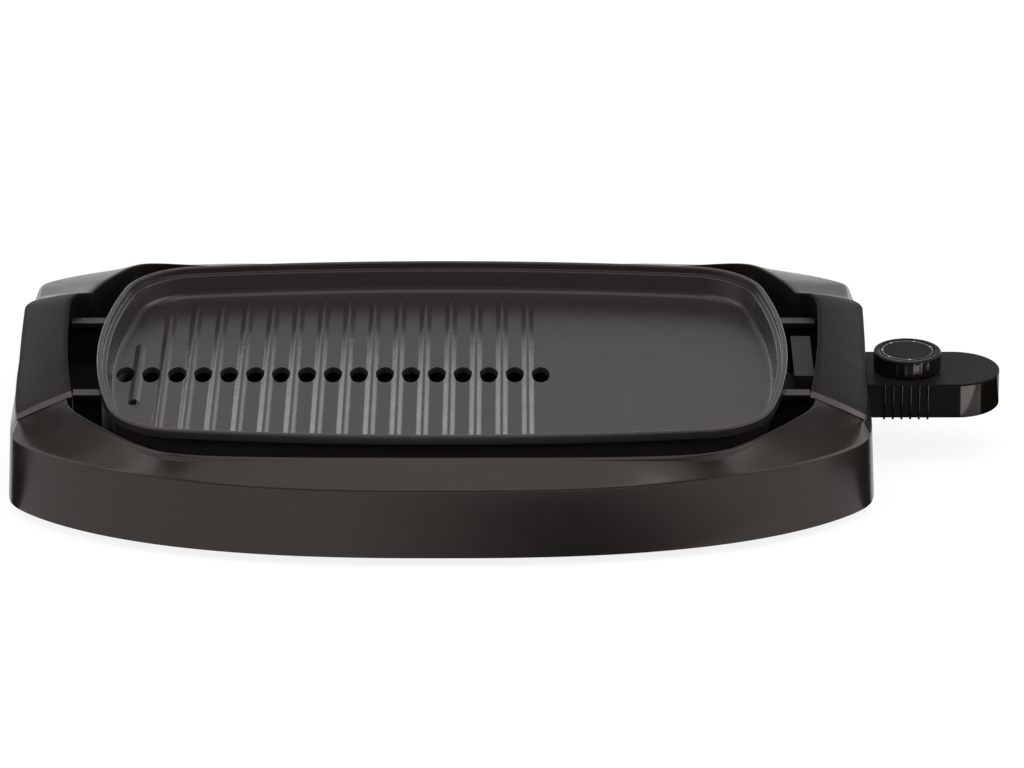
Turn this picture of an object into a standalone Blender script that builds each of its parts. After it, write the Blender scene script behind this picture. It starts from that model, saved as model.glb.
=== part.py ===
"""Electric table grill: a bow-fronted base with two grips, a ribbed cooking plate with its heating
element, a grease drawer and a plug-in thermostat with a dial.

Metres, +Z up. The grill's own centre is the origin that the sizes below are given from: X runs along
the plate, Y from front (minus) to rear, Z from the table. At the end the whole grill hangs from one
empty that puts the middle of its footprint, with the thermostat, over the world origin.
"""
import math

import bmesh
import bpy
from mathutils import Matrix, Vector

# Common clearances and cuts
SEAT_GAP = 0.0003
SLIDE_GAP = 0.0005
OVERRUN = 0.002
WELD_DISTANCE = 0.00001

# Cooking plate
PLATE_HALF_X = 0.2196
PLATE_HALF_Y = 0.1516
PLATE_SHIFT_Y = 0.0025
PLATE_END_ARC = 0.450
PLATE_SIDE_ARC = 1.350
PLATE_CORNER_ARC = 0.052
PLATE_ARC_STEPS = (3, 7, 5)
PLATE_TOP_Z = 0.070
PLATE_LIP_HEIGHT = 0.0058
PLATE_LIP_WIDTH = 0.0036
PLATE_LEDGE_DROP = 0.0045
PLATE_LEDGE_WIDTH = 0.0032
PLATE_DEPTH = 0.0190
PLATE_FLOOR_THICKNESS = 0.004
PLATE_WALL = 0.0028
PLATE_WALL_RUN = 0.0050
PLATE_EDGE = 0.0005
LIP_FOOT_Z = PLATE_TOP_Z - PLATE_LIP_HEIGHT
PLATE_FLOOR_Z = PLATE_TOP_Z - PLATE_DEPTH
PLATE_UNDER_Z = PLATE_FLOOR_Z - PLATE_FLOOR_THICKNESS

# Ribs and drain slots of the plate
RIB_PITCH = 0.01655
RIB_COUNT = 16
FIRST_RIB_INSET = 0.0257
FIRST_RIB_X = -PLATE_HALF_X + FIRST_RIB_INSET
RIB_BASE_WIDTH = 0.0070
RIB_TOP_WIDTH = 0.0032
RIB_HEIGHT = 0.0030
RIB_END_SLOPE = 0.0035
RIB_END_MARGIN = 0.006
FIRST_RIB_HALF = 0.050
SECOND_RIB_HALF = 0.101
SLOT_HALF_X = 0.0055
SLOT_HALF_Y = 0.0130
SLOT_SIDES = 12
DIMPLE_RADIUS = 0.0026
DIMPLE_DEPTH = 0.0015
DIMPLE_INSET = 0.0035
FIRST_SLOT_X = FIRST_RIB_X - RIB_PITCH / 2
LAST_SLOT_X = FIRST_RIB_X + (RIB_COUNT - 0.5) * RIB_PITCH

# Heating element under the plate, with its terminals
ELEMENT_RADIUS = 0.0040
ELEMENT_GAP = 0.0006
ELEMENT_Z = PLATE_UNDER_Z - ELEMENT_GAP - ELEMENT_RADIUS
ELEMENT_END_INSET = 0.0372
ELEMENT_BEND = 0.020
ELEMENT_BEND_STEPS = 4
ELEMENT_END_X = PLATE_HALF_X - ELEMENT_END_INSET
ELEMENT_OUTER_X = ELEMENT_END_X - 2 * ELEMENT_BEND - ELEMENT_GAP
ELEMENT_INNER_X = ELEMENT_OUTER_X - 2 * ELEMENT_BEND - ELEMENT_GAP
ELEMENT_LEFT_INSET = 0.0447
ELEMENT_LEFT_X = -PLATE_HALF_X + ELEMENT_LEFT_INSET
ELEMENT_SIDE_INSET = 0.0475
ELEMENT_OUTER_Y = PLATE_HALF_Y - ELEMENT_SIDE_INSET
ELEMENT_SLOT_GAP = 0.0270
ELEMENT_INNER_Y = SLOT_HALF_Y + ELEMENT_SLOT_GAP
PIN_RADIUS = 0.00225
PIN_REACH = 0.0018
PIN_TIP_X = PLATE_HALF_X + PIN_REACH
BEAD_RADIUS = 0.0043
BEAD_LENGTH = 0.0165
BRACKET_THICKNESS = 0.0015
BRACKET_HALF_WIDTH = 0.0075
BRACKET_X = ELEMENT_END_X + (BEAD_LENGTH + BRACKET_THICKNESS) / 2
CLIP_LENGTH = 0.008
CLIP_WALL = 0.0008
CLIP_X = -0.0250

# Base shell: skirt, deck and well
WELL_END_GAP = 0.0158
WELL_FRONT_GAP = 0.0149
WELL_REAR_GAP = 0.0044
WELL_POWER = 30.0
WELL_FRONT_CUT = 0.0432
WELL_FRONT_CUT_TURN = math.radians(46.0)
WELL_REAR_CUT = 0.0321
WELL_REAR_CUT_TURN = math.radians(26.0)
WELL_HALF_X = PLATE_HALF_X + WELL_END_GAP
WELL_FRONT_Y = PLATE_HALF_Y - PLATE_SHIFT_Y + WELL_FRONT_GAP
WELL_REAR_Y = PLATE_HALF_Y + PLATE_SHIFT_Y + WELL_REAR_GAP
END_DECK = 0.0370
FRONT_DECK = 0.0260
REAR_DECK = 0.0305
FRONT_OVERREACH = 0.0276
REAR_OVERREACH = 0.0376
HALF_LENGTH = WELL_HALF_X + END_DECK
SIDE_CURVE = 1.500
FRONT_BOW = WELL_FRONT_Y + FRONT_DECK
FRONT_POWER = 2.5
REAR_BOW = WELL_REAR_Y + REAR_DECK
REAR_POWER = 3.0
FRONT_CORNER_POWER = 70.0
REAR_CORNER_POWER = 150.0
SHELL_WALL = 0.0026
RIM_DROP = 0.0072
RIM_CENTRE_Z = PLATE_TOP_Z - RIM_DROP
RIM_RISE = 0.0070
RIM_RISE_POWER = 4
RIM_ROUND = 0.0012
SKIRT_FOOT_Z = 0.006
SKIRT_TOP_DROP = 0.0128
SKIRT_TOP_Z = RIM_CENTRE_Z - SKIRT_TOP_DROP
SKIRT_DRAFT = 0.002
SKIRT_EDGE_ROUND = 0.0008
SHOULDER_RISE = 0.0092
SHOULDER_REAR_EXTRA = 0.0012
SHOULDER_MIDDLE_INSET = 0.0015
SHOULDER_FRONT_INSET = 0.0040
SHOULDER_REAR_INSET = 0.0058
SHOULDER_END_TURN = math.radians(31.0)
CORNER_SWOOP = 0.0030
CORNER_SWOOP_TURN = math.radians(28.0)
GRIP_ROUND_DEGREES = 14.0
GRIP_END_DEGREES = 20.3
GRIP_HALF_STEPS = (3, 3)
QUARTER_STEPS = ((GRIP_ROUND_DEGREES, GRIP_HALF_STEPS[0]), (GRIP_END_DEGREES, GRIP_HALF_STEPS[1]),
                 (34.0, 5), (60.0, 5), (90.0, 3))

# Grips on the two ends
GRIP_END_ANGLE = math.radians(GRIP_END_DEGREES)
GRIP_ROUND_ANGLE = math.radians(GRIP_ROUND_DEGREES)
GRIP_INNER_STEP = 0.0031
GRIP_INNER_X = WELL_HALF_X + GRIP_INNER_STEP
GRIP_INNER_ARC = 1.375
GRIP_INNER_SLANT_SHARE = 0.0635
GRIP_OUTER_INSET = 0.0029
GRIP_OUTER_X = HALF_LENGTH - GRIP_OUTER_INSET
GRIP_OUTER_ARC = 4.170
GRIP_OUTER_SLANT_SHARE = 0.0377
GRIP_OVERHANG = 0.0004
GRIP_FLARE = 0.0075
GRIP_CORNER_PULL = 0.0060
GRIP_CORNER_ANGLE = math.radians(17.2)
EDGE_ROUNDS = 8
GRIP_SLAB = 0.0031
GRIP_FLANGE = 0.0027
GRIP_FLANGE_DROP = 0.0128
GRIP_FLANGE_FOOT_Z = RIM_CENTRE_Z - GRIP_FLANGE_DROP
GRIP_RECESS_RUN = math.radians(1.5)
GRIP_EDGE_ROUND = 0.0014
GRIP_CROWN = 0.0006

# Thermostat's nose, which reaches through the well wall to the pins
HOUSING_HALF_WIDTH = 0.02885
NOSE_SIDE_INSET = 0.00635
NOSE_HALF_WIDTH = HOUSING_HALF_WIDTH - NOSE_SIDE_INSET
NOSE_REACH = 0.0177
NOSE_INNER_X = PLATE_HALF_X - NOSE_REACH
NOSE_BELOW = 0.0058
NOSE_ABOVE = 0.0038
NOSE_FOOT_Z = ELEMENT_Z - NOSE_BELOW
NOSE_TOP_Z = ELEMENT_Z + NOSE_ABOVE
NOSE_OPENING_GAP = 0.0012
SOCKET_DEPTH = 0.0220
SOCKET_WIDTH = 0.0066
SOCKET_FLOOR = 0.0024
SOCKET_SIDE_INSET = 0.0055
PIN_Y = NOSE_HALF_WIDTH - SOCKET_SIDE_INSET
CONTACT_WALL = 0.0005
CONTACT_HEIGHT = 0.0050

# Thermostat housing
HOUSING_SEAT = 0.0135
HOUSING_INNER_X = WELL_HALF_X + HOUSING_SEAT
HOUSING_STRAIGHT = 0.0537
HOUSING_ROUND_X = HALF_LENGTH + HOUSING_STRAIGHT
HOUSING_OUTER_X = HOUSING_ROUND_X + HOUSING_HALF_WIDTH
HOUSING_BELOW = 0.0036
HOUSING_ABOVE = 0.0094
HOUSING_FOOT_Z = NOSE_FOOT_Z - HOUSING_BELOW
HOUSING_TOP_Z = NOSE_TOP_Z + HOUSING_ABOVE
HOUSING_SPLIT_Z = (HOUSING_FOOT_Z + HOUSING_TOP_Z) / 2
HOUSING_WALL = 0.0022
HOUSING_EDGE = 0.0008
HOUSING_ROUND_STEPS = 16
NOSE_SEAT = 0.0060
NOSE_OUTER_X = HOUSING_INNER_X + NOSE_SEAT
PROBE_RADIUS = 0.00275
PROBE_REACH = 0.0335
PROBE_TIP_X = ELEMENT_END_X - PROBE_REACH
PROBE_RIB_GAP = 0.0005
PROBE_RIB_WIDTH = 0.0018
PROBE_RIB_DROP = 0.0062
GRIP_LINE_COUNT = 6
GRIP_LINE_PITCH = 0.0055
GRIP_LINE_WIDTH = 0.0014
GRIP_LINE_PROUD = 0.0009
GRIP_LINE_REACH = 0.0018
GRIP_LINE_TOP = 0.0003
GRIP_LINE_FOOT = 0.0009
GRIP_LINE_SHIFT = 0.0019
SWITCH_LENGTH = 0.036
SWITCH_HALF_WIDTH = 0.013
SWITCH_HEIGHT = 0.0085
LEAF_THICKNESS = 0.0006
LEAF_WIDTH = 0.006
GLAND_INSET = 0.0099
GLAND_X = HOUSING_ROUND_X - GLAND_INSET
GLAND_RADIUS = 0.0045
GLAND_BORE = 0.0030
GLAND_INNER = 0.004
GLAND_OUTER = 0.005

# Dial
DIAL_INSET = 0.0301
DIAL_X = HOUSING_ROUND_X - DIAL_INSET
DIAL_RADIUS = 0.02145
DIAL_HEIGHT = 0.0116
DIAL_ROUND = 0.0025
DIAL_STEPS = 40
DIAL_ROUND_STEPS = 3
DIAL_FLUTES = 12
DIAL_FLUTE_RADIUS = 0.0120
DIAL_FLUTE_DEPTH = 0.0006
DIAL_FLUTE_SIDES = 32
DIAL_FACE_INSET = 0.00425
FACE_RADIUS = DIAL_RADIUS - DIAL_FACE_INSET
FACE_THICKNESS = 0.0006
SPINDLE_RADIUS = 0.0030
SPINDLE_ENGAGE = 0.0070

# Shelf of the well, with the plate rests and the hood over the plug
SHELF_CLEARANCE = 0.0016
SHELF_TOP_Z = NOSE_FOOT_Z - SHELF_CLEARANCE
SHIELD_END_GAP = 0.0020
SHIELD_INSET = WELL_HALF_X - ELEMENT_END_X - BEAD_LENGTH - SHIELD_END_GAP
SHIELD_OVERLAP = 0.0035
SHELF_WIDTH = SHIELD_INSET + SHIELD_OVERLAP
REST_Y = 0.0616
REST_WIDTH = 0.0095
REST_TOP_THICKNESS = 0.0032
REST_WEB = 0.0030
REST_END_GAP = 0.0006
HOOD_SIDE = 0.00515
HOOD_HALF_WIDTH = HOUSING_HALF_WIDTH + HOOD_SIDE
HOOD_PLATE_GAP = 0.0033
HOOD_INNER_X = PLATE_HALF_X + HOOD_PLATE_GAP
HOOD_TOP_DROP = 0.0002
HOOD_TOP_Z = LIP_FOOT_Z - HOOD_TOP_DROP
HOOD_WALL = 0.0025

# Heat shield
SHIELD_THICKNESS = 0.0008
SHIELD_RIM = 0.0040
DRIP_HALF_WIDTH = 0.026
DRIP_MARGIN = 0.006

# Finger cups behind the openings under the grips
CUP_Y = 0.0610
CUP_LENGTH = 0.046
CUP_HEIGHT = 0.0190
CUP_TOP_DROP = 0.0040
CUP_FOOT_Z = SKIRT_TOP_Z - CUP_TOP_DROP - CUP_HEIGHT
CUP_DEPTH = 0.0135
CUP_WALL = 0.0018
CUP_GAP = 0.0007

# Bottom cover, feet and screws
COVER_THICKNESS = 0.0025
COVER_EDGE_GAP = 0.0008
COVER_RECESS = 0.0010
COVER_FOOT_Z = SKIRT_FOOT_Z + COVER_RECESS
FOOT_RADIUS = 0.010
FOOT_END_INSET = 0.0685
FOOT_FRONT_INSET = 0.085
FOOT_X = HALF_LENGTH - FOOT_END_INSET
FOOT_Y = FRONT_BOW - FOOT_FRONT_INSET
FOOT_ROUND = 0.0015
VENT_LENGTH = 0.050
VENT_WIDTH = 0.004
VENT_PITCH = 0.012
VENT_COUNT = 5
VENT_END_INSET = 0.055
VENT_SIDE_INSET = 0.015
VENT_X = FOOT_X - VENT_END_INSET
VENT_Y = FOOT_Y - VENT_SIDE_INSET
POST_RADIUS = 0.0045
POST_HOLE_RADIUS = 0.0018
POST_HOLE_DEPTH = 0.014
POST_DECK_SHARE = 0.45
POST_SUNK_SHARE = 0.6
POST_ANGLES = tuple(math.radians(degrees) for degrees in (29, 90, 151, 209, 270, 331))
SCREW_SHANK_RADIUS = 0.0014
SCREW_HEAD_RADIUS = 0.0032
SCREW_HEAD_HEIGHT = 0.0016
SCREW_LENGTH = 0.012

# Grease drawer
DRAWER_HALF_WIDTH = 0.0340
DRAWER_LIFT = 0.0027
DRAWER_FOOT_Z = COVER_FOOT_Z + COVER_THICKNESS + DRAWER_LIFT
DRAWER_TOP_GAP = 0.0014
DRAWER_TOP_Z = SHELF_TOP_Z - SHELL_WALL - DRAWER_TOP_GAP
DRAWER_WALL = 0.0016
DRAWER_INNER_MARGIN = 0.0110
DRAWER_INNER_X = LAST_SLOT_X + SLOT_HALF_X + DRAWER_INNER_MARGIN
DRAWER_FRONT = 0.0030
DRAWER_FRONT_DROP = 0.0016
DRAWER_FRONT_FOOT_Z = DRAWER_FOOT_Z - DRAWER_FRONT_DROP
DRAWER_PULL_HEIGHT = 0.0048
DRAWER_PULL_FOOT_Z = DRAWER_TOP_Z - DRAWER_PULL_HEIGHT
DRAWER_PULL_WIDTH = 0.030
DRAWER_PULL_DEPTH = 0.0014
RAIL_HEIGHT = 0.0100
RAIL_WALL = 0.0018
RAIL_LEDGE = 0.0050

# Places that several pieces share
HANDLE_X = WELL_HALF_X * math.cos(GRIP_END_ANGLE)
FOOTPRINT_X = (HOUSING_OUTER_X - HALF_LENGTH) / 2
FOOTPRINT_Y = (REAR_BOW - FRONT_BOW) / 2


def clear_scene():
    """Remove the objects of the scene that the script starts in."""
    for thing in list(bpy.data.objects):
        bpy.data.objects.remove(thing, do_unlink=True)


clear_scene()
parts = bpy.data.collections.new("electric_grill")
cutters = bpy.data.collections.new("cutters")
bpy.context.scene.collection.children.link(parts)
bpy.context.scene.collection.children.link(cutters)


def make_material(name, colour, roughness, metallic=0.0):
    """Return a Principled material of one colour, roughness and metallic value."""
    material = bpy.data.materials.new(name)
    material.use_nodes = True
    shader = material.node_tree.nodes["Principled BSDF"]
    shader.inputs["Base Color"].default_value = (*colour, 1.0)
    shader.inputs["Roughness"].default_value = roughness
    shader.inputs["Metallic"].default_value = metallic
    material.diffuse_color = (*colour, 1.0)
    return material


SHELL_PLASTIC = make_material("satin_shell_plastic", (0.045, 0.040, 0.038), 0.38)
GRIP_PLASTIC = make_material("satin_grip_plastic", (0.036, 0.033, 0.031), 0.42)
DARK_PLASTIC = make_material("dark_inner_plastic", (0.012, 0.012, 0.010), 0.55)
GLOSS_PLASTIC = make_material("gloss_housing_plastic", (0.012, 0.011, 0.009), 0.12)
DIAL_PLASTIC = make_material("dial_plastic", (0.020, 0.019, 0.017), 0.35)
PLATE_COATING = make_material("non_stick_coating", (0.075, 0.070, 0.070), 0.48, 0.2)
ELEMENT_STEEL = make_material("sheath_steel", (0.30, 0.29, 0.28), 0.35, 1.0)
SHEET_STEEL = make_material("aluminised_sheet", (0.60, 0.60, 0.60), 0.30, 1.0)
PIN_BRASS = make_material("nickelled_brass", (0.62, 0.55, 0.40), 0.25, 1.0)
CERAMIC = make_material("terminal_ceramic", (0.80, 0.77, 0.70), 0.50)
RUBBER = make_material("foot_rubber", (0.020, 0.020, 0.020), 0.85)
SCREW_STEEL = make_material("zinc_screw_steel", (0.55, 0.55, 0.56), 0.30, 1.0)
FACE_PRINT = make_material("dial_face_plastic", (0.034, 0.031, 0.029), 0.40)


def add_empty(name, location, parent=None):
    """Return an empty at a place given from the grill's centre."""
    empty = bpy.data.objects.new(name, None)
    empty.empty_display_size = SKIRT_TOP_Z
    parts.objects.link(empty)
    empty.location = location
    if parent is not None:
        empty.parent = parent
        empty.matrix_parent_inverse = Matrix.Translation(-Vector(parent.location))
    return empty


GRILL = add_empty("grill", (0.0, 0.0, 0.0))
PLATE_BODY = add_empty("plate_lift_axis", (0.0, 0.0, LIP_FOOT_Z), GRILL)
DRAWER_BODY = add_empty("drawer_slide_axis", (-HALF_LENGTH, 0.0, DRAWER_FOOT_Z), GRILL)
THERMOSTAT_BODY = add_empty("thermostat_slide_axis", (HOUSING_INNER_X, 0.0, ELEMENT_Z), GRILL)
DIAL_BODY = add_empty("dial_axis", (DIAL_X, 0.0, HOUSING_TOP_Z), THERMOSTAT_BODY)


def place(thing, material, body):
    """Give a piece its material and hang it from its body's empty, where it was modelled."""
    if thing.name not in parts.objects:
        parts.objects.link(thing)
    thing.data.materials.clear()
    thing.data.materials.append(material)
    thing.parent = body
    thing.matrix_parent_inverse = Matrix.Translation(-Vector(body.location))
    return thing


def from_bmesh(name, shape):
    """Turn a bmesh into an object and free it."""
    bmesh.ops.recalc_face_normals(shape, faces=shape.faces)
    mesh = bpy.data.meshes.new(name)
    shape.to_mesh(mesh)
    shape.free()
    return bpy.data.objects.new(name, mesh)


def smooth(thing, degrees=35.0):
    """Shade a piece smooth, with creases kept sharp."""
    thing.data.shade_smooth()
    thing.data.set_sharp_from_angle(angle=math.radians(degrees))
    return thing


def box(name, low, high):
    """Return a box between two corners."""
    shape = bmesh.new()
    bmesh.ops.create_cube(shape, size=1.0)
    size = Vector(high) - Vector(low)
    middle = (Vector(high) + Vector(low)) / 2
    bmesh.ops.scale(shape, vec=size, verts=shape.verts)
    bmesh.ops.translate(shape, vec=middle, verts=shape.verts)
    return from_bmesh(name, shape)


def rod(name, start, axis, length, radius, segments=16):
    """Return a cylinder that starts at a point and runs along an axis."""
    shape = bmesh.new()
    bmesh.ops.create_cone(shape, cap_ends=True, segments=segments, radius1=radius, radius2=radius, depth=length)
    turn = Vector((0.0, 0.0, 1.0)).rotation_difference(Vector(axis)).to_matrix().to_4x4()
    middle = Vector(start) + Vector(axis).normalized() * length / 2
    bmesh.ops.transform(shape, matrix=Matrix.Translation(middle) @ turn, verts=shape.verts)
    return from_bmesh(name, shape)


def loft(name, rings, capped):
    """Join rings of equally many points by faces, and close the first and last ring where asked."""
    shape = bmesh.new()
    rows = [[shape.verts.new(point) for point in ring] for ring in rings]
    for lower, upper in zip(rows, rows[1:]):
        for index in range(len(lower)):
            after = (index + 1) % len(lower)
            shape.faces.new((lower[index], lower[after], upper[after], upper[index]))
    if capped:
        shape.faces.new(rows[0])
        shape.faces.new(rows[-1])
    return from_bmesh(name, shape)


def extruded(name, outline, thickness):
    """Return a flat outline as a filled curve of the given thickness, centred on its plane."""
    curve = bpy.data.curves.new(name, "CURVE")
    curve.dimensions = "2D"
    curve.fill_mode = "BOTH"
    curve.extrude = thickness / 2
    spline = curve.splines.new("POLY")
    spline.points.add(len(outline) - 1)
    for point, (x, y) in zip(spline.points, outline):
        point.co = (x, y, 0.0, 1.0)
    spline.use_cyclic_u = True
    return bpy.data.objects.new(name, curve)


def as_mesh(curve_object, matrix):
    """Replace a curve object by its welded mesh, moved by a matrix."""
    name = curve_object.name
    bpy.context.scene.collection.objects.link(curve_object)
    graph = bpy.context.evaluated_depsgraph_get()
    mesh = bpy.data.meshes.new_from_object(curve_object.evaluated_get(graph))
    bpy.data.objects.remove(curve_object, do_unlink=True)
    shape = bmesh.new()
    shape.from_mesh(mesh)
    bpy.data.meshes.remove(mesh)
    bmesh.ops.remove_doubles(shape, verts=shape.verts, dist=WELD_DISTANCE)
    bmesh.ops.transform(shape, matrix=matrix, verts=shape.verts)
    return from_bmesh(name, shape)


def upright_slab(name, outline, low_z, high_z):
    """Extrude a plan outline from one height to another."""
    lift = Matrix.Translation((0.0, 0.0, (low_z + high_z) / 2))
    return as_mesh(extruded(name, outline, high_z - low_z), lift)


def along_x(name, outline, low_x, high_x):
    """Extrude an outline drawn in Y and Z along X."""
    turn = Matrix(((0, 0, 1, 0), (1, 0, 0, 0), (0, 1, 0, 0), (0, 0, 0, 1)))
    shift = Matrix.Translation(((low_x + high_x) / 2, 0.0, 0.0))
    return as_mesh(extruded(name, outline, high_x - low_x), shift @ turn)


def turned(name, profile, steps, centre):
    """Spin a profile of (radius, height) points, outer side from top to bottom, about an upright axis."""
    shape = bmesh.new()
    verts = [shape.verts.new((radius, 0.0, height)) for radius, height in profile]
    for first, second in zip(verts, verts[1:]):
        shape.edges.new((first, second))
    mesh = bpy.data.meshes.new(name)
    shape.to_mesh(mesh)
    shape.free()
    thing = bpy.data.objects.new(name, mesh)
    thing.location = centre
    screw = thing.modifiers.new("turn", "SCREW")
    screw.steps = steps
    screw.render_steps = steps
    screw.use_merge_vertices = True
    screw.merge_threshold = WELD_DISTANCE
    screw.use_smooth_shade = True
    return thing


def join_shapes(name, things):
    """Put several separate solids into one object."""
    shape = bmesh.new()
    for thing in things:
        shape.from_mesh(thing.data)
        bpy.data.objects.remove(thing, do_unlink=True)
    return from_bmesh(name, shape)


def boolean(target, tool, operation):
    """Cut a tool out of a piece, or join it on, and keep the tool among the cutters."""
    cutters.objects.link(tool)
    tool.hide_render = True
    tool.display_type = "WIRE"
    tool.parent = GRILL
    tool.matrix_parent_inverse = Matrix.Translation(-Vector(GRILL.location))
    change = target.modifiers.new(tool.name, "BOOLEAN")
    change.operation = operation
    change.solver = "EXACT"
    change.object = tool
    return target


def round_edges(thing, width, segments=2, degrees=50.0):
    """Round the sharp edges of a piece."""
    bevel = thing.modifiers.new("rounded_edges", "BEVEL")
    bevel.width = width
    bevel.segments = segments
    bevel.limit_method = "ANGLE"
    bevel.angle_limit = math.radians(degrees)
    bevel.use_clamp_overlap = True
    return thing


def superellipse(angle, half_x, half_y, power):
    """Return the distance from the centre to a superellipse in the given direction."""
    reach = (abs(math.cos(angle)) / half_x) ** power + (abs(math.sin(angle)) / half_y) ** power
    return reach ** (-1.0 / power)


def base_radius(angle):
    """Outline of the skirt at its foot: bowed front and rear, slightly bowed sides, rounded corners."""
    is_front = math.sin(angle) < 0
    half_y = FRONT_BOW if is_front else REAR_BOW
    power = FRONT_POWER if is_front else REAR_POWER
    overreach = FRONT_OVERREACH if is_front else REAR_OVERREACH
    corner = FRONT_CORNER_POWER if is_front else REAR_CORNER_POWER
    bow = superellipse(angle, HALF_LENGTH + overreach, half_y, power)
    side = superellipse(angle, HALF_LENGTH, SIDE_CURVE, 2)
    near, far = sorted((bow, side))
    return near * (1.0 + (near / far) ** corner) ** (-1.0 / corner)


def smooth_step(value):
    """Rise smoothly from 0 to 1 as value goes from 0 to 1."""
    held = min(max(value, 0.0), 1.0)
    return held * held * (3 - 2 * held)


def off_axis(angle):
    """Angle between a direction and the X axis, from 0 to a right angle."""
    return math.atan2(abs(math.sin(angle)), abs(math.cos(angle)))


def well_radius(angle):
    """Outline of the well that the plate hangs in: a rounded rectangle with cut corners."""
    is_front = math.sin(angle) < 0
    half_y = WELL_FRONT_Y if is_front else WELL_REAR_Y
    cut = WELL_FRONT_CUT if is_front else WELL_REAR_CUT
    cut_turn = WELL_FRONT_CUT_TURN if is_front else WELL_REAR_CUT_TURN
    cut_reach = WELL_HALF_X * math.cos(cut_turn) + half_y * math.sin(cut_turn) - cut
    turn = off_axis(angle)
    shares = (math.cos(turn) / WELL_HALF_X, math.sin(turn) / half_y, math.cos(turn - cut_turn) / cut_reach)
    return sum(share ** WELL_POWER for share in shares) ** (-1.0 / WELL_POWER)


def shoulder_weight(angle):
    """1 where the deck keeps its shoulder beside the grips, less towards the middle."""
    turn = off_axis(angle)
    is_front = math.sin(angle) < 0
    start = GRIP_END_ANGLE + GRIP_RECESS_RUN if is_front else math.radians(42.0)
    end = SHOULDER_END_TURN if is_front else math.radians(80.0)
    least = 0.0 if is_front else 0.3
    return 1.0 - (1.0 - least) * smooth_step((turn - start) / (end - start))


def grip_weight(angle):
    """1 along a grip and 0 past its ends."""
    return 1.0 - smooth_step((off_axis(angle) - GRIP_END_ANGLE) / GRIP_RECESS_RUN)


def rim_height(angle):
    """Height of the well's upper edge: lowest at front and rear, highest at the grips."""
    x = well_radius(angle) * abs(math.cos(angle))
    return RIM_CENTRE_Z + RIM_RISE * min(x / HANDLE_X, 1.0) ** RIM_RISE_POWER


def skirt_top_radius(angle):
    """Radius of the skirt's top edge."""
    return base_radius(angle) - SKIRT_DRAFT


def shoulder_point(angle):
    """Radius and height of the deck's shoulder, just inside the skirt's top edge."""
    share = min(off_axis(angle) / GRIP_END_ANGLE, 1.0)
    end_inset = SHOULDER_FRONT_INSET if math.sin(angle) < 0 else SHOULDER_REAR_INSET
    inset = SHOULDER_MIDDLE_INSET + (end_inset - SHOULDER_MIDDLE_INSET) * share * share
    radius = skirt_top_radius(angle) - inset
    slope = (rim_height(angle) - SKIRT_TOP_Z) * inset / (skirt_top_radius(angle) - well_radius(angle))
    weight = shoulder_weight(angle)
    rearward = smooth_step((math.sin(angle) / math.sin(GRIP_END_ANGLE) + 1.0) / 2)
    rise = SHOULDER_RISE + SHOULDER_REAR_EXTRA * rearward
    return radius, SKIRT_TOP_Z + rise * weight + slope * (1.0 - weight)


def end_edge_radius(angle, half_x, slant_share, arc):
    """Distance to an edge along an end of the grill that bows a little and leans out to the rear."""
    x = half_x
    for _ in range(EDGE_ROUNDS):
        y = x * math.sin(angle) / abs(math.cos(angle))
        x = half_x + slant_share * y - y * y / (2 * arc)
    return x / abs(math.cos(angle))


def rear_share(angle, start):
    """0 up to a direction on a grip's rear half, then up to 1 at its rear end."""
    if math.sin(angle) < 0:
        return 0.0
    return min(max((off_axis(angle) - start) / (GRIP_END_ANGLE - start), 0.0), 1.0)


def grip_inner_radius(angle):
    """Inner edge of a grip, which flares towards the plate at its rear end."""
    edge = end_edge_radius(angle, GRIP_INNER_X, GRIP_INNER_SLANT_SHARE, GRIP_INNER_ARC)
    return edge - GRIP_FLARE * rear_share(angle, GRIP_ROUND_ANGLE) ** 3


def grip_outer_radius(angle):
    """Outer edge of a grip, which stands out over the shoulder and is rounded at its rear end."""
    edge = end_edge_radius(angle, GRIP_OUTER_X, GRIP_OUTER_SLANT_SHARE, GRIP_OUTER_ARC)
    pull = GRIP_CORNER_PULL * rear_share(angle, GRIP_CORNER_ANGLE) ** 2
    return max(edge - pull, shoulder_point(angle)[0] + GRIP_OVERHANG)


def well_edge_radius(angle):
    """Radius of the well's wall, set back where a grip's flange lies inside it."""
    weight = grip_weight(angle)
    if weight == 0.0:
        return well_radius(angle)
    held = math.copysign(min(off_axis(angle), GRIP_END_ANGLE), math.sin(angle))
    recess = grip_inner_radius(held) + GRIP_FLANGE + SEAT_GAP - well_radius(held)
    return well_radius(angle) + recess * weight


def deck_point(angle, share):
    """Point of the deck between the well's edge (share 0) and the shoulder (share 1)."""
    inner = well_edge_radius(angle)
    outer, outer_z = shoulder_point(angle)
    inner_z = rim_height(angle)
    swoop = 0.0
    if math.sin(angle) < 0:
        span = (off_axis(angle) - GRIP_END_ANGLE) / CORNER_SWOOP_TURN
        swoop = CORNER_SWOOP * math.sin(math.pi * min(max(span, 0.0), 1.0)) ** 2
    height = inner_z + (outer_z - inner_z) * share - swoop * math.sin(math.pi * share)
    return inner + (outer - inner) * share, height


def rim_point(angle):
    """Point of the deck where the rounding of the well's edge starts."""
    inner = well_edge_radius(angle)
    outer, _ = shoulder_point(angle)
    return deck_point(angle, RIM_ROUND / (outer - inner))


def quarter_angles(steps):
    """Directions of one quarter, spaced by the table of (end in degrees, count)."""
    angles = []
    start = 0.0
    for end, count in steps:
        angles += [math.radians(start + (end - start) * index / count) for index in range(count)]
        start = end
    return angles


def full_turn(quarter):
    """Mirror the directions of one quarter into a whole turn."""
    upper = quarter + [math.pi / 2] + [math.pi - angle for angle in reversed(quarter)]
    return upper + [angle + math.pi for angle in upper[1:-1]]


def ring(angles, radius_and_height):
    """Points at the radius and height that a function gives for each direction."""
    points = []
    for angle in angles:
        radius, height = radius_and_height(angle)
        points.append((radius * math.cos(angle), radius * math.sin(angle), height))
    return points


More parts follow.
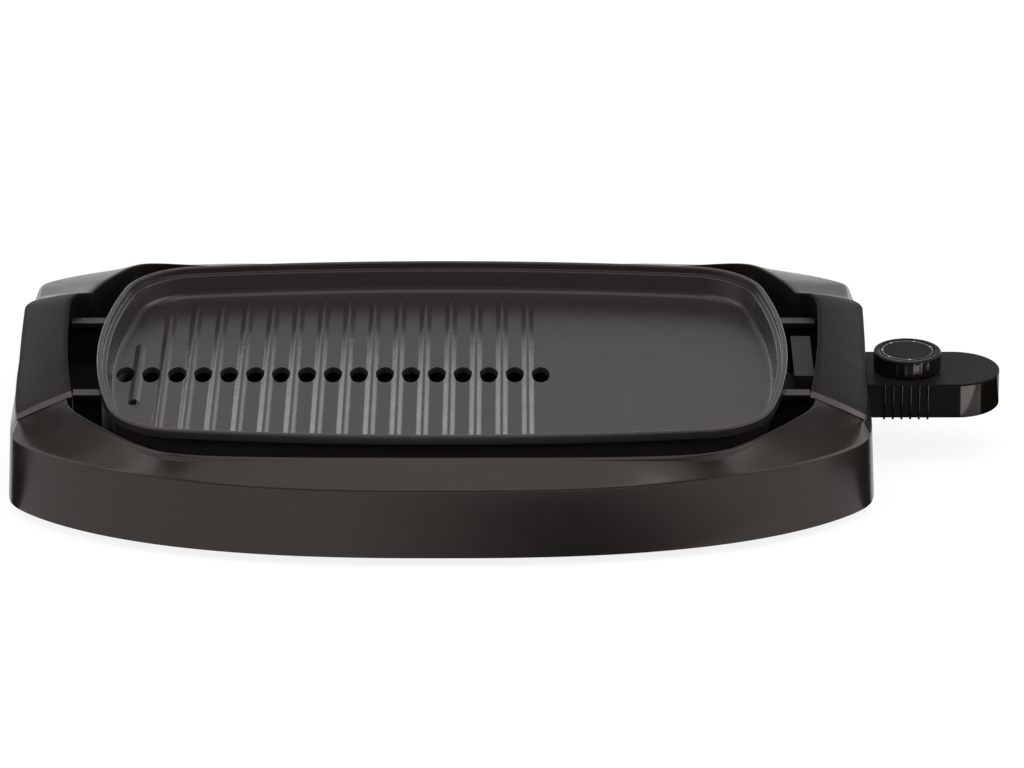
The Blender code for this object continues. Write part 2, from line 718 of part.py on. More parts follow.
def flat_outline(angles, radius):
    """Plan points at the radius that a function gives for each direction."""
    return [(radius(angle) * math.cos(angle), radius(angle) * math.sin(angle)) for angle in angles]


STATIONS = full_turn(quarter_angles(QUARTER_STEPS))


def corner_centre():
    """Centre of the plate's corner arc, which runs smoothly into the end arc and the side arc."""
    end = Vector((PLATE_HALF_X - PLATE_END_ARC, 0.0))
    side = Vector((0.0, PLATE_HALF_Y - PLATE_SIDE_ARC))
    to_end = PLATE_END_ARC - PLATE_CORNER_ARC
    to_side = PLATE_SIDE_ARC - PLATE_CORNER_ARC
    between = side - end
    along = (to_end ** 2 - to_side ** 2 + between.length ** 2) / (2 * between.length)
    across = (to_end ** 2 - along ** 2) ** 0.5
    step = between.normalized()
    return end + step * along + Vector((-step.y, step.x)) * across


def plate_outline(inset):
    """Plan of the plate at an inset from its lip: bowed ends and sides with rounded corners."""
    corner = corner_centre()
    end = Vector((PLATE_HALF_X - PLATE_END_ARC, 0.0))
    side = Vector((0.0, PLATE_HALF_Y - PLATE_SIDE_ARC))
    first = math.atan2(corner.y - end.y, corner.x - end.x)
    second = math.atan2(corner.y - side.y, corner.x - side.x)
    arcs = ((end, PLATE_END_ARC, 0.0, first), (corner, PLATE_CORNER_ARC, first, second),
            (side, PLATE_SIDE_ARC, second, math.pi / 2))
    quarter = []
    for (centre, radius, start, stop), steps in zip(arcs, PLATE_ARC_STEPS):
        for index in range(steps):
            turn = start + (stop - start) * index / steps
            quarter.append((centre.x + (radius - inset) * math.cos(turn),
                            centre.y + (radius - inset) * math.sin(turn)))
    half = quarter + [(0.0, PLATE_HALF_Y - inset)] + [(-x, y) for x, y in reversed(quarter)]
    whole = half + [(-x, -y) for x, y in half[1:-1]]
    return [(x, y + PLATE_SHIFT_Y) for x, y in whole]


def plate_half_x(y):
    """Half length of the plate's lip outline at a distance from the grill's centre line."""
    return PLATE_HALF_X - PLATE_END_ARC + (PLATE_END_ARC ** 2 - (y - PLATE_SHIFT_Y) ** 2) ** 0.5


def deck_height(x, y):
    """Height of the deck's upper face over a point of the plan."""
    angle = math.atan2(y, x)
    inner = well_edge_radius(angle)
    outer, _ = shoulder_point(angle)
    return deck_point(angle, (math.hypot(x, y) - inner) / (outer - inner))[1]


def skirt_face_x(y, z):
    """Outer face of the skirt at the ends, at a distance from the centre line and a height."""
    bow = HALF_LENGTH * (1.0 - (y / SIDE_CURVE) ** 2) ** 0.5
    return bow - SKIRT_DRAFT * (z - SKIRT_FOOT_Z) / (SKIRT_TOP_Z - SKIRT_FOOT_Z)


def post_place(angle):
    """Centre of a screw post under the deck."""
    radius, _ = deck_point(angle, POST_DECK_SHARE)
    return radius * math.cos(angle), radius * math.sin(angle)


def build_post(name, x, y):
    """Screw post whose top follows the slope of the deck and ends inside its wall."""
    foot = COVER_FOOT_Z + COVER_THICKNESS + SEAT_GAP
    post = rod(name, (x, y, foot), (0, 0, 1), SKIRT_TOP_Z - foot, POST_RADIUS, 12)
    for vert in post.data.vertices:
        if vert.co.z > foot + OVERRUN:
            vert.co.z = deck_height(vert.co.x, vert.co.y) - SHELL_WALL * POST_SUNK_SHARE
    return post


def build_base_shell():
    """Skirt, deck, well wall and shelf as one moulded sheet, with its screw posts and openings."""
    rings = [
        ring(STATIONS, lambda angle: (base_radius(angle), SKIRT_FOOT_Z)),
        ring(STATIONS, lambda angle: (skirt_top_radius(angle), SKIRT_TOP_Z - SKIRT_EDGE_ROUND)),
        ring(STATIONS, lambda angle: (skirt_top_radius(angle) - SKIRT_EDGE_ROUND, SKIRT_TOP_Z)),
        ring(STATIONS, shoulder_point),
        ring(STATIONS, lambda angle: deck_point(angle, 0.5)),
        ring(STATIONS, rim_point),
        ring(STATIONS, lambda angle: (well_edge_radius(angle), rim_height(angle) - RIM_ROUND)),
        ring(STATIONS, lambda angle: (well_edge_radius(angle), SHELF_TOP_Z)),
        ring(STATIONS, lambda angle: (well_radius(angle) - SHELF_WIDTH, SHELF_TOP_Z)),
    ]
    shell = loft("base_shell", rings, capped=False)
    wall = shell.modifiers.new("wall", "SOLIDIFY")
    wall.thickness = SHELL_WALL
    wall.offset = -1.0
    wall.use_even_offset = True
    posts = []
    holes = []
    for index, angle in enumerate(POST_ANGLES):
        x, y = post_place(angle)
        foot = COVER_FOOT_Z + COVER_THICKNESS + SEAT_GAP
        posts.append(build_post(f"post_{index}", x, y))
        holes.append(rod(f"hole_{index}", (x, y, foot - OVERRUN), (0, 0, 1), POST_HOLE_DEPTH + OVERRUN,
                         POST_HOLE_RADIUS, 10))
    boolean(shell, join_shapes("shell_posts", posts), "UNION")
    boolean(shell, join_shapes("shell_post_holes", holes), "DIFFERENCE")
    reach = HALF_LENGTH + OVERRUN
    openings = [
        box("drawer_opening", (-reach, -DRAWER_HALF_WIDTH - SLIDE_GAP, DRAWER_FRONT_FOOT_Z - SLIDE_GAP),
            (-HALF_LENGTH + SHELL_WALL * 4, DRAWER_HALF_WIDTH + SLIDE_GAP, DRAWER_TOP_Z + SLIDE_GAP)),
        box("housing_opening", (HOUSING_INNER_X - SLIDE_GAP, -HOUSING_HALF_WIDTH - SLIDE_GAP,
                                HOUSING_FOOT_Z - SLIDE_GAP),
            (reach, HOUSING_HALF_WIDTH + SLIDE_GAP, HOUSING_TOP_Z + SLIDE_GAP)),
        box("nose_opening", (HOOD_INNER_X, -NOSE_HALF_WIDTH - NOSE_OPENING_GAP, NOSE_FOOT_Z - SLIDE_GAP),
            (HOUSING_INNER_X + OVERRUN, NOSE_HALF_WIDTH + NOSE_OPENING_GAP, NOSE_TOP_Z + NOSE_OPENING_GAP)),
    ]
    for side_x in (-1, 1):
        for side_y in (-1, 1):
            inner = HALF_LENGTH - SHELL_WALL * 4
            xs = sorted((side_x * inner, side_x * reach))
            ys = sorted((side_y * (CUP_Y - CUP_LENGTH / 2), side_y * (CUP_Y + CUP_LENGTH / 2)))
            openings.append(box("cup_opening", (xs[0], ys[0], CUP_FOOT_Z),
                                (xs[1], ys[1], CUP_FOOT_Z + CUP_HEIGHT)))
    boolean(shell, join_shapes("shell_openings", openings), "DIFFERENCE")
    boolean(shell, drip_cutter("shell_drip_cut"), "DIFFERENCE")
    return place(smooth(shell), SHELL_PLASTIC, GRILL)


def drip_cutter(name):
    """Long opening under the drain slots, open through the shelf and the heat shield."""
    low = (FIRST_SLOT_X - SLOT_HALF_X - DRIP_MARGIN, -DRIP_HALF_WIDTH, SHELF_TOP_Z - SHELL_WALL - OVERRUN)
    high = (LAST_SLOT_X + SLOT_HALF_X + DRIP_MARGIN, DRIP_HALF_WIDTH, SHELF_TOP_Z + SHIELD_RIM + OVERRUN)
    return box(name, low, high)


def grip_section(angle):
    """Closed section of a grip cover at one direction, as (radius, height) points."""
    inner = grip_inner_radius(angle)
    seat = inner + GRIP_FLANGE
    shoulder, outer_z = shoulder_point(angle)
    outer = grip_outer_radius(angle)
    inner_z = rim_height(angle) + SEAT_GAP
    outer_z += SEAT_GAP
    middle = (seat + outer) / 2
    middle_z = (inner_z + outer_z) / 2 + GRIP_SLAB + GRIP_CROWN
    return [
        (inner, GRIP_FLANGE_FOOT_Z),
        (seat, GRIP_FLANGE_FOOT_Z),
        (seat, inner_z),
        (shoulder, outer_z),
        (outer, outer_z),
        (outer, outer_z + GRIP_SLAB - GRIP_EDGE_ROUND),
        (outer - GRIP_EDGE_ROUND, outer_z + GRIP_SLAB),
        (middle, middle_z),
        (inner + GRIP_EDGE_ROUND, inner_z + GRIP_SLAB),
        (inner + GRIP_EDGE_ROUND * 0.3, inner_z + GRIP_SLAB - GRIP_EDGE_ROUND * 0.3),
        (inner, inner_z + GRIP_SLAB - GRIP_EDGE_ROUND),
    ]


def build_grip(name, facing):
    """Grip cover that lies on the deck at one end, with a flange down the inside of the well."""
    half = quarter_angles(QUARTER_STEPS[:2]) + [GRIP_END_ANGLE]
    turns = [-turn for turn in reversed(half[1:])] + half
    sections = []
    for turn in turns:
        section = grip_section(turn)
        sections.append([(facing * radius * math.cos(turn), radius * math.sin(turn), height)
                         for radius, height in section])
    grip = loft(name, sections, capped=True)
    return place(smooth(grip), GRIP_PLASTIC, GRILL)


def build_cup(name, side_x, side_y):
    """Open cup behind a finger opening, with its mouth against the inner face of the skirt."""
    near_y = CUP_Y - CUP_LENGTH / 2
    far_y = CUP_Y + CUP_LENGTH / 2
    back = skirt_face_x(far_y, SKIRT_TOP_Z) - SHELL_WALL - CUP_DEPTH
    cup = box(name, (back, near_y - CUP_WALL, CUP_FOOT_Z - CUP_WALL),
              (HALF_LENGTH, far_y + CUP_WALL, CUP_FOOT_Z + CUP_HEIGHT + CUP_WALL))
    hollow = box(name + "_hollow", (back + CUP_WALL, near_y, CUP_FOOT_Z),
                 (HALF_LENGTH + OVERRUN, far_y, CUP_FOOT_Z + CUP_HEIGHT))
    for vert in cup.data.vertices:
        if vert.co.x > HALF_LENGTH - OVERRUN:
            vert.co.x = skirt_face_x(vert.co.y, vert.co.z) - SHELL_WALL - CUP_GAP
    for thing in (cup, hollow):
        thing.data.transform(Matrix.Diagonal((side_x, side_y, 1, 1)))
        if side_x * side_y < 0:
            thing.data.flip_normals()
    boolean(cup, hollow, "DIFFERENCE")
    return place(cup, DARK_PLASTIC, GRILL)


def cover_radius(angle):
    """Outline of the bottom cover, just inside the skirt."""
    return base_radius(angle) - SHELL_WALL - COVER_EDGE_GAP


def vent_boxes():
    """Slots of the two vent fields through the bottom cover."""
    slots = []
    for x in (-VENT_X, VENT_X):
        for y in (-VENT_Y, VENT_Y):
            for index in range(VENT_COUNT):
                middle = y + (index - (VENT_COUNT - 1) / 2) * VENT_PITCH
                slots.append(box("vent", (x - VENT_LENGTH / 2, middle - VENT_WIDTH / 2, COVER_FOOT_Z - OVERRUN),
                                 (x + VENT_LENGTH / 2, middle + VENT_WIDTH / 2,
                                  COVER_FOOT_Z + COVER_THICKNESS + OVERRUN)))
    return slots


def build_bottom_cover():
    """Flat cover screwed under the skirt, with vents and screw holes."""
    cover = upright_slab("bottom_cover", flat_outline(STATIONS[::2], cover_radius), COVER_FOOT_Z,
                         COVER_FOOT_Z + COVER_THICKNESS)
    holes = []
    for index, angle in enumerate(POST_ANGLES):
        x, y = post_place(angle)
        holes.append(rod(f"cover_hole_{index}", (x, y, COVER_FOOT_Z - OVERRUN), (0, 0, 1),
                         COVER_THICKNESS + 2 * OVERRUN, POST_HOLE_RADIUS, 10))
    boolean(cover, join_shapes("cover_openings", vent_boxes() + holes), "DIFFERENCE")
    return place(cover, DARK_PLASTIC, GRILL)


def build_feet():
    """Four rubber feet under the cover."""
    top = COVER_FOOT_Z - SEAT_GAP
    profile = [(0.0, top), (FOOT_RADIUS - FOOT_ROUND, top), (FOOT_RADIUS, top - FOOT_ROUND),
               (FOOT_RADIUS, FOOT_ROUND), (FOOT_RADIUS - FOOT_ROUND, 0.0), (0.0, 0.0)]
    names = {(-1, -1): "foot_front_left", (1, -1): "foot_front_right", (-1, 1): "foot_rear_left",
             (1, 1): "foot_rear_right"}
    for (side_x, side_y), name in names.items():
        foot = turned(name, profile, 16, (side_x * FOOT_X, side_y * FOOT_Y, 0.0))
        place(foot, RUBBER, GRILL)


def build_cover_screws():
    """Six screws through the bottom cover into the posts."""
    top = COVER_FOOT_Z - SEAT_GAP
    for index, angle in enumerate(POST_ANGLES):
        x, y = post_place(angle)
        screw = rod(f"cover_screw_{index + 1}", (x, y, top - SCREW_HEAD_HEIGHT), (0, 0, 1), SCREW_HEAD_HEIGHT,
                    SCREW_HEAD_RADIUS, 12)
        shank = rod(f"screw_shank_{index + 1}", (x, y, top - SCREW_HEAD_HEIGHT / 2), (0, 0, 1),
                    SCREW_LENGTH + SCREW_HEAD_HEIGHT / 2, SCREW_SHANK_RADIUS, 12)
        boolean(screw, shank, "UNION")
        place(screw, SCREW_STEEL, GRILL)


def shield_radius(angle):
    """Outline of the heat shield, resting on the inner part of the shelf."""
    return well_radius(angle) - SHIELD_INSET


def build_heat_shield():
    """Bright sheet under the element, with a low rim and the drip opening."""
    low = SHELF_TOP_Z + SEAT_GAP
    outer = [(low, 0.0), (low + SHIELD_RIM, 0.0)]
    inner = [(low + SHIELD_RIM, SHIELD_THICKNESS), (low + SHIELD_THICKNESS, SHIELD_THICKNESS)]
    angles = STATIONS[::2]
    rings = [ring(angles, lambda angle, z=z, inset=inset: (shield_radius(angle) - inset, z))
             for z, inset in outer + inner]
    shield = loft("heat_shield", rings, capped=True)
    boolean(shield, drip_cutter("shield_drip_cut"), "DIFFERENCE")
    return place(smooth(shield), SHEET_STEEL, GRILL)


def build_rests():
    """Four T-shaped rests on the shelf that carry the plate's lip."""
    foot = SHELF_TOP_Z + SEAT_GAP
    top = LIP_FOOT_Z - SEAT_GAP
    names = {(-1, -1): "plate_rest_front_left", (1, -1): "plate_rest_front_right",
             (-1, 1): "plate_rest_rear_left", (1, 1): "plate_rest_rear_right"}
    far_y = REST_Y + REST_WIDTH / 2
    near_y = REST_Y - REST_WIDTH / 2
    inner_x = max(plate_half_x(near_y), plate_half_x(-near_y)) - PLATE_LIP_WIDTH + PLATE_EDGE * 2
    for (side_x, side_y), name in names.items():
        outer_angle = math.atan2(side_y * far_y, inner_x)
        near_angle = math.atan2(side_y * near_y, inner_x)
        outer_x = min(grip_inner_radius(turn) * math.cos(turn) for turn in (outer_angle, near_angle)) - REST_END_GAP
        middle = side_y * REST_Y
        half = REST_WIDTH / 2
        web = REST_WEB / 2
        under = top - REST_TOP_THICKNESS
        outline = [(middle - web, foot), (middle + web, foot), (middle + web, under), (middle + half, under),
                   (middle + half, top), (middle - half, top), (middle - half, under), (middle - web, under)]
        low_x, high_x = sorted((side_x * inner_x, side_x * outer_x))
        rest = along_x(name, outline, low_x, high_x)
        place(rest, DARK_PLASTIC, GRILL)


def build_hood():
    """Hood over the plug, standing on the shelf against the right grip."""
    foot = SHELF_TOP_Z + SEAT_GAP
    half = HOOD_HALF_WIDTH
    inner = half - HOOD_WALL
    under = HOOD_TOP_Z - HOOD_WALL
    outline = [(-half, foot), (-inner, foot), (-inner, under), (inner, under), (inner, foot), (half, foot),
               (half, HOOD_TOP_Z), (-half, HOOD_TOP_Z)]
    angle = math.atan2(-half, WELL_HALF_X)
    outer_x = grip_inner_radius(angle) * math.cos(angle) - REST_END_GAP
    hood = along_x("plug_hood", outline, HOOD_INNER_X, outer_x)
    return place(hood, DARK_PLASTIC, GRILL)


def build_drawer_rails():
    """Two L-shaped rails on the bottom cover that the drawer slides on."""
    foot = COVER_FOOT_Z + COVER_THICKNESS + SEAT_GAP
    ledge = DRAWER_FOOT_Z - SEAT_GAP
    wall_in = DRAWER_HALF_WIDTH + SLIDE_GAP
    wall_out = wall_in + RAIL_WALL
    edge = DRAWER_HALF_WIDTH - RAIL_LEDGE
    low_x = -HALF_LENGTH + SHELL_WALL * 4 + DRAWER_FRONT
    for side, name in ((-1, "drawer_rail_front"), (1, "drawer_rail_rear")):
        outline = [(edge, foot), (wall_out, foot), (wall_out, foot + RAIL_HEIGHT), (wall_in, foot + RAIL_HEIGHT),
                   (wall_in, ledge), (edge, ledge)]
        outline = [(side * y, z) for y, z in outline]
        rail = along_x(name, outline, low_x, DRAWER_INNER_X)
        place(rail, DARK_PLASTIC, GRILL)


def build_drawer():
    """Grease drawer under the drain slots, with a front flush in the left side of the skirt."""
    tray_x = -skirt_face_x(0.0, SKIRT_TOP_Z) + DRAWER_FRONT
    half = DRAWER_HALF_WIDTH
    tray = box("grease_drawer", (tray_x, -half, DRAWER_FOOT_Z), (DRAWER_INNER_X, half, DRAWER_TOP_Z))
    hollow = box("drawer_hollow", (tray_x + DRAWER_WALL, -half + DRAWER_WALL, DRAWER_FOOT_Z + DRAWER_WALL),
                 (DRAWER_INNER_X - DRAWER_WALL, half - DRAWER_WALL, DRAWER_TOP_Z + OVERRUN))
    round_edges(hollow, DRAWER_WALL * 2, 2)
    boolean(tray, hollow, "DIFFERENCE")
    place(tray, DARK_PLASTIC, DRAWER_BODY)
    front = box("drawer_front", (-HALF_LENGTH, -half, DRAWER_FRONT_FOOT_Z), (tray_x - SEAT_GAP, half, DRAWER_TOP_Z))
    for vert in front.data.vertices:
        if vert.co.x < tray_x - DRAWER_FRONT / 2:
            vert.co.x = -skirt_face_x(vert.co.y, vert.co.z)
    pull = box("drawer_pull", (-HALF_LENGTH - OVERRUN, -DRAWER_PULL_WIDTH / 2, DRAWER_PULL_FOOT_Z),
               (-HALF_LENGTH + DRAWER_PULL_DEPTH * 2, DRAWER_PULL_WIDTH / 2, DRAWER_TOP_Z + OVERRUN))
    boolean(front, pull, "DIFFERENCE")
    return place(front, SHELL_PLASTIC, DRAWER_BODY)


def plate_ring(inset, height):
    """Ring of the plate at an inset from its lip."""
    return [(x, y, height) for x, y in plate_outline(inset)]


def build_plate():
    """Cooking plate: pan with a stepped lip, ribs and drain slots on the left two thirds."""
    lip_in = PLATE_LIP_WIDTH
    ledge_z = PLATE_TOP_Z - PLATE_LEDGE_DROP
    ledge_in = lip_in + PLATE_LEDGE_WIDTH
    floor_in = ledge_in + PLATE_WALL_RUN
    under_z = ledge_z - PLATE_WALL
    edge = PLATE_EDGE
    run = PLATE_WALL_RUN
    rings = [
        (floor_in, PLATE_FLOOR_Z),
        (floor_in - run * 0.35, PLATE_FLOOR_Z + run * 0.10),
        (floor_in - run * 0.60, PLATE_FLOOR_Z + run * 0.38),
        (floor_in - run * 0.72, PLATE_FLOOR_Z + run * 0.75),
        (ledge_in, ledge_z - edge),
        (ledge_in - edge, ledge_z),
        (lip_in + edge, ledge_z),
        (lip_in, PLATE_TOP_Z - edge),
        (lip_in - edge, PLATE_TOP_Z),
        (edge, PLATE_TOP_Z),
        (0.0, PLATE_TOP_Z - edge),
        (0.0, LIP_FOOT_Z),
        (lip_in - edge, LIP_FOOT_Z),
        (ledge_in - PLATE_WALL, under_z),
        (floor_in - run * 0.72 - PLATE_WALL, PLATE_FLOOR_Z),
        (floor_in - run * 0.60 - PLATE_WALL * 0.6, PLATE_UNDER_Z + PLATE_FLOOR_THICKNESS * 0.4),
        (floor_in - run * 0.35, PLATE_UNDER_Z),
    ]
    plate = loft("grill_plate", [plate_ring(inset, height) for inset, height in rings], capped=True)
    boolean(plate, build_ribs(floor_in), "UNION")
    ribs_of_probe = []
    for side in (-1, 1):
        inner = PROBE_RADIUS + PROBE_RIB_GAP
        ys = sorted((side * inner, side * (inner + PROBE_RIB_WIDTH)))
        ribs_of_probe.append(box("probe_rib", (PROBE_TIP_X, ys[0], PLATE_UNDER_Z - PROBE_RIB_DROP),
                                 (ELEMENT_END_X + BEAD_LENGTH, ys[1], PLATE_UNDER_Z + PLATE_FLOOR_THICKNESS / 2)))
    boolean(plate, join_shapes("plate_probe_ribs", ribs_of_probe), "UNION")
    slots = []
    for index in range(RIB_COUNT + 1):
        slot = rod(f"slot_{index}", (0, 0, PLATE_UNDER_Z - OVERRUN), (0, 0, 1),
                   PLATE_FLOOR_THICKNESS + RIB_HEIGHT + 2 * OVERRUN, 1.0, SLOT_SIDES)
        slot.data.transform(Matrix.Diagonal((SLOT_HALF_X, SLOT_HALF_Y, 1, 1)))
        slot.data.transform(Matrix.Translation((FIRST_SLOT_X + index * RIB_PITCH, 0, 0)))
        slots.append(slot)
    dimple = rod("dimple", (FIRST_RIB_X, -FIRST_RIB_HALF + DIMPLE_INSET, PLATE_FLOOR_Z - DIMPLE_DEPTH), (0, 0, 1),
                 RIB_HEIGHT + DIMPLE_DEPTH + OVERRUN, DIMPLE_RADIUS, 12)
    boolean(plate, join_shapes("plate_slots", slots + [dimple]), "DIFFERENCE")
    return place(smooth(plate), PLATE_COATING, PLATE_BODY)


def rib_half_length(x, floor_inset):
    """Half length of a rib at x, ending short of the plate's side walls."""
    side_arc = PLATE_SIDE_ARC - floor_inset
    return PLATE_HALF_Y - PLATE_SIDE_ARC + (side_arc ** 2 - x ** 2) ** 0.5 - RIB_END_MARGIN


def build_ribs(floor_inset):
    """Ribs with sloped flanks and ends, sunk a little into the plate's floor."""
    ribs = []
    for index in range(RIB_COUNT):
        x = FIRST_RIB_X + index * RIB_PITCH
        half = {0: FIRST_RIB_HALF, 1: SECOND_RIB_HALF}.get(index, rib_half_length(x, floor_inset))
        middle = 0.0 if index < 2 else PLATE_SHIFT_Y
        sunk = PLATE_FLOOR_THICKNESS / 4
        slope = (RIB_BASE_WIDTH - RIB_TOP_WIDTH) / 2 * sunk / RIB_HEIGHT
        end_slope = RIB_END_SLOPE * sunk / RIB_HEIGHT
        rib = box(f"rib_{index}", (x - RIB_BASE_WIDTH / 2 - slope, middle - half - end_slope, PLATE_FLOOR_Z - sunk),
                  (x + RIB_BASE_WIDTH / 2 + slope, middle + half + end_slope, PLATE_FLOOR_Z + RIB_HEIGHT))
        for vert in rib.data.vertices:
            if vert.co.z > PLATE_FLOOR_Z:
                side = 1 if vert.co.x > x else -1
                end = 1 if vert.co.y > 0 else -1
                vert.co.x = x + side * RIB_TOP_WIDTH / 2
                vert.co.y = middle + end * (half - RIB_END_SLOPE)
        ribs.append(rib)
    return join_shapes("plate_ribs", ribs)


def bent_path(corners, radius, steps):
    """Points of a path through corners, each turned by an arc."""
    points = [Vector(corners[0])]
    for before, corner, after in zip(corners, corners[1:], corners[2:]):
        corner = Vector(corner)
        incoming = (corner - Vector(before)).normalized()
        outgoing = (Vector(after) - corner).normalized()
        start = corner - incoming * radius
        centre = start + outgoing * radius
        for index in range(steps + 1):
            turn = math.pi / 2 * index / steps
            points.append(centre - outgoing * radius * math.cos(turn) + incoming * radius * math.sin(turn))
    points.append(Vector(corners[-1]))
    return points


def build_element():
    """Tubular heating element: one M-shaped loop round the drain slots."""
    half_path = [(ELEMENT_END_X, PIN_Y), (ELEMENT_OUTER_X, PIN_Y), (ELEMENT_OUTER_X, ELEMENT_OUTER_Y),
                 (ELEMENT_LEFT_X, ELEMENT_OUTER_Y), (ELEMENT_LEFT_X, ELEMENT_INNER_Y),
                 (ELEMENT_INNER_X, ELEMENT_INNER_Y)]
    corners = half_path + [(x, -y) for x, y in reversed(half_path)]
    points = bent_path([(x, y, ELEMENT_Z) for x, y in corners], ELEMENT_BEND, ELEMENT_BEND_STEPS)
    curve = bpy.data.curves.new("heating_element", "CURVE")
    curve.dimensions = "3D"
    curve.bevel_depth = ELEMENT_RADIUS
    curve.bevel_resolution = 1
    curve.use_fill_caps = True
    spline = curve.splines.new("POLY")
    spline.points.add(len(points) - 1)
    for point, place_of_point in zip(spline.points, points):
        point.co = (*place_of_point, 1.0)
    element = bpy.data.objects.new("heating_element", curve)
    return place(element, ELEMENT_STEEL, PLATE_BODY)


def build_terminals():
    """Cold pins, ceramic beads and the brackets that hold them under the plate."""
    for side, name in ((-1, "front"), (1, "rear")):
        y = side * PIN_Y
        start = ELEMENT_END_X + SEAT_GAP
        pin = rod(f"terminal_pin_{name}", (start, y, ELEMENT_Z), (1, 0, 0), PIN_TIP_X - start, PIN_RADIUS, 12)
        place(smooth(pin), PIN_BRASS, PLATE_BODY)
        bead = rod(f"ceramic_bead_{name}", (start, y, ELEMENT_Z), (1, 0, 0), BEAD_LENGTH, BEAD_RADIUS, 20)
        bore = rod(f"bead_bore_{name}", (start - OVERRUN, y, ELEMENT_Z), (1, 0, 0), BEAD_LENGTH + 2 * OVERRUN,
                   PIN_RADIUS + SEAT_GAP, 12)
        boolean(bead, bore, "DIFFERENCE")
        place(smooth(bead), CERAMIC, PLATE_BODY)
        low = (BRACKET_X, y - BRACKET_HALF_WIDTH, ELEMENT_Z - BEAD_RADIUS - BRACKET_THICKNESS)
        high = (BRACKET_X + BRACKET_THICKNESS, y + BRACKET_HALF_WIDTH, PLATE_UNDER_Z - SEAT_GAP)
        bracket = box(f"terminal_bracket_{name}", low, high)
        window = rod(f"bracket_hole_{name}", (BRACKET_X - OVERRUN, y, ELEMENT_Z), (1, 0, 0),
                     BRACKET_THICKNESS + 2 * OVERRUN, BEAD_RADIUS + SEAT_GAP / 2, 20)
        boolean(bracket, window, "DIFFERENCE")
        place(bracket, SHEET_STEEL, PLATE_BODY)


def build_clips():
    """U-shaped clips that hold the element's straight runs to the plate."""
    inner = ELEMENT_RADIUS + SEAT_GAP
    outer = inner + CLIP_WALL
    top = PLATE_UNDER_Z - SEAT_GAP
    names = {-ELEMENT_OUTER_Y: "front_outer", -ELEMENT_INNER_Y: "front_inner", ELEMENT_INNER_Y: "rear_inner",
             ELEMENT_OUTER_Y: "rear_outer"}
    for y, name in names.items():
        outline = [(y - outer, top), (y - outer, ELEMENT_Z - outer), (y + outer, ELEMENT_Z - outer),
                   (y + outer, top), (y + inner, top), (y + inner, ELEMENT_Z - inner),
                   (y - inner, ELEMENT_Z - inner), (y - inner, top)]
        clip = along_x(f"element_clip_{name}", outline, CLIP_X - CLIP_LENGTH / 2, CLIP_X + CLIP_LENGTH / 2)
        place(clip, SHEET_STEEL, PLATE_BODY)


def housing_outline(inset):
    """Plan of the thermostat housing: straight sides and a round outer end."""
    half = HOUSING_HALF_WIDTH - inset
    points = [(HOUSING_INNER_X + inset, half), (HOUSING_INNER_X + inset, -half)]
    for index in range(HOUSING_ROUND_STEPS + 1):
        turn = -math.pi / 2 + math.pi * index / HOUSING_ROUND_STEPS
        points.append((HOUSING_ROUND_X + half * math.cos(turn), half * math.sin(turn)))
    return points


def grip_lines(low_z, high_z):
    """Fine upright ribs on both long sides of the housing, folded a little over its top or foot."""
    lines = []
    for side in (-1, 1):
        for index in range(GRIP_LINE_COUNT):
            x = DIAL_X - GRIP_LINE_SHIFT + (index - (GRIP_LINE_COUNT - 1) / 2) * GRIP_LINE_PITCH
            ys = sorted((side * (HOUSING_HALF_WIDTH + GRIP_LINE_PROUD), side * (HOUSING_HALF_WIDTH - GRIP_LINE_REACH)))
            lines.append(box("grip_line", (x - GRIP_LINE_WIDTH / 2, ys[0], low_z),
                             (x + GRIP_LINE_WIDTH / 2, ys[1], high_z)))
    return lines


def nose_cutter(name):
    """Opening in the housing for the nose."""
    return box(name, (HOUSING_INNER_X - OVERRUN, -NOSE_HALF_WIDTH - SEAT_GAP, NOSE_FOOT_Z - SEAT_GAP),
               (NOSE_OUTER_X + SEAT_GAP, NOSE_HALF_WIDTH + SEAT_GAP, NOSE_TOP_Z + SEAT_GAP))


def gland_cutter(name):
    """Hole for the cable gland on the housing's rear side."""
    return rod(name, (GLAND_X, HOUSING_HALF_WIDTH - GLAND_INNER - OVERRUN, HOUSING_SPLIT_Z), (0, 1, 0),
               GLAND_INNER + GLAND_OUTER + 2 * OVERRUN, GLAND_RADIUS + SEAT_GAP, 20)


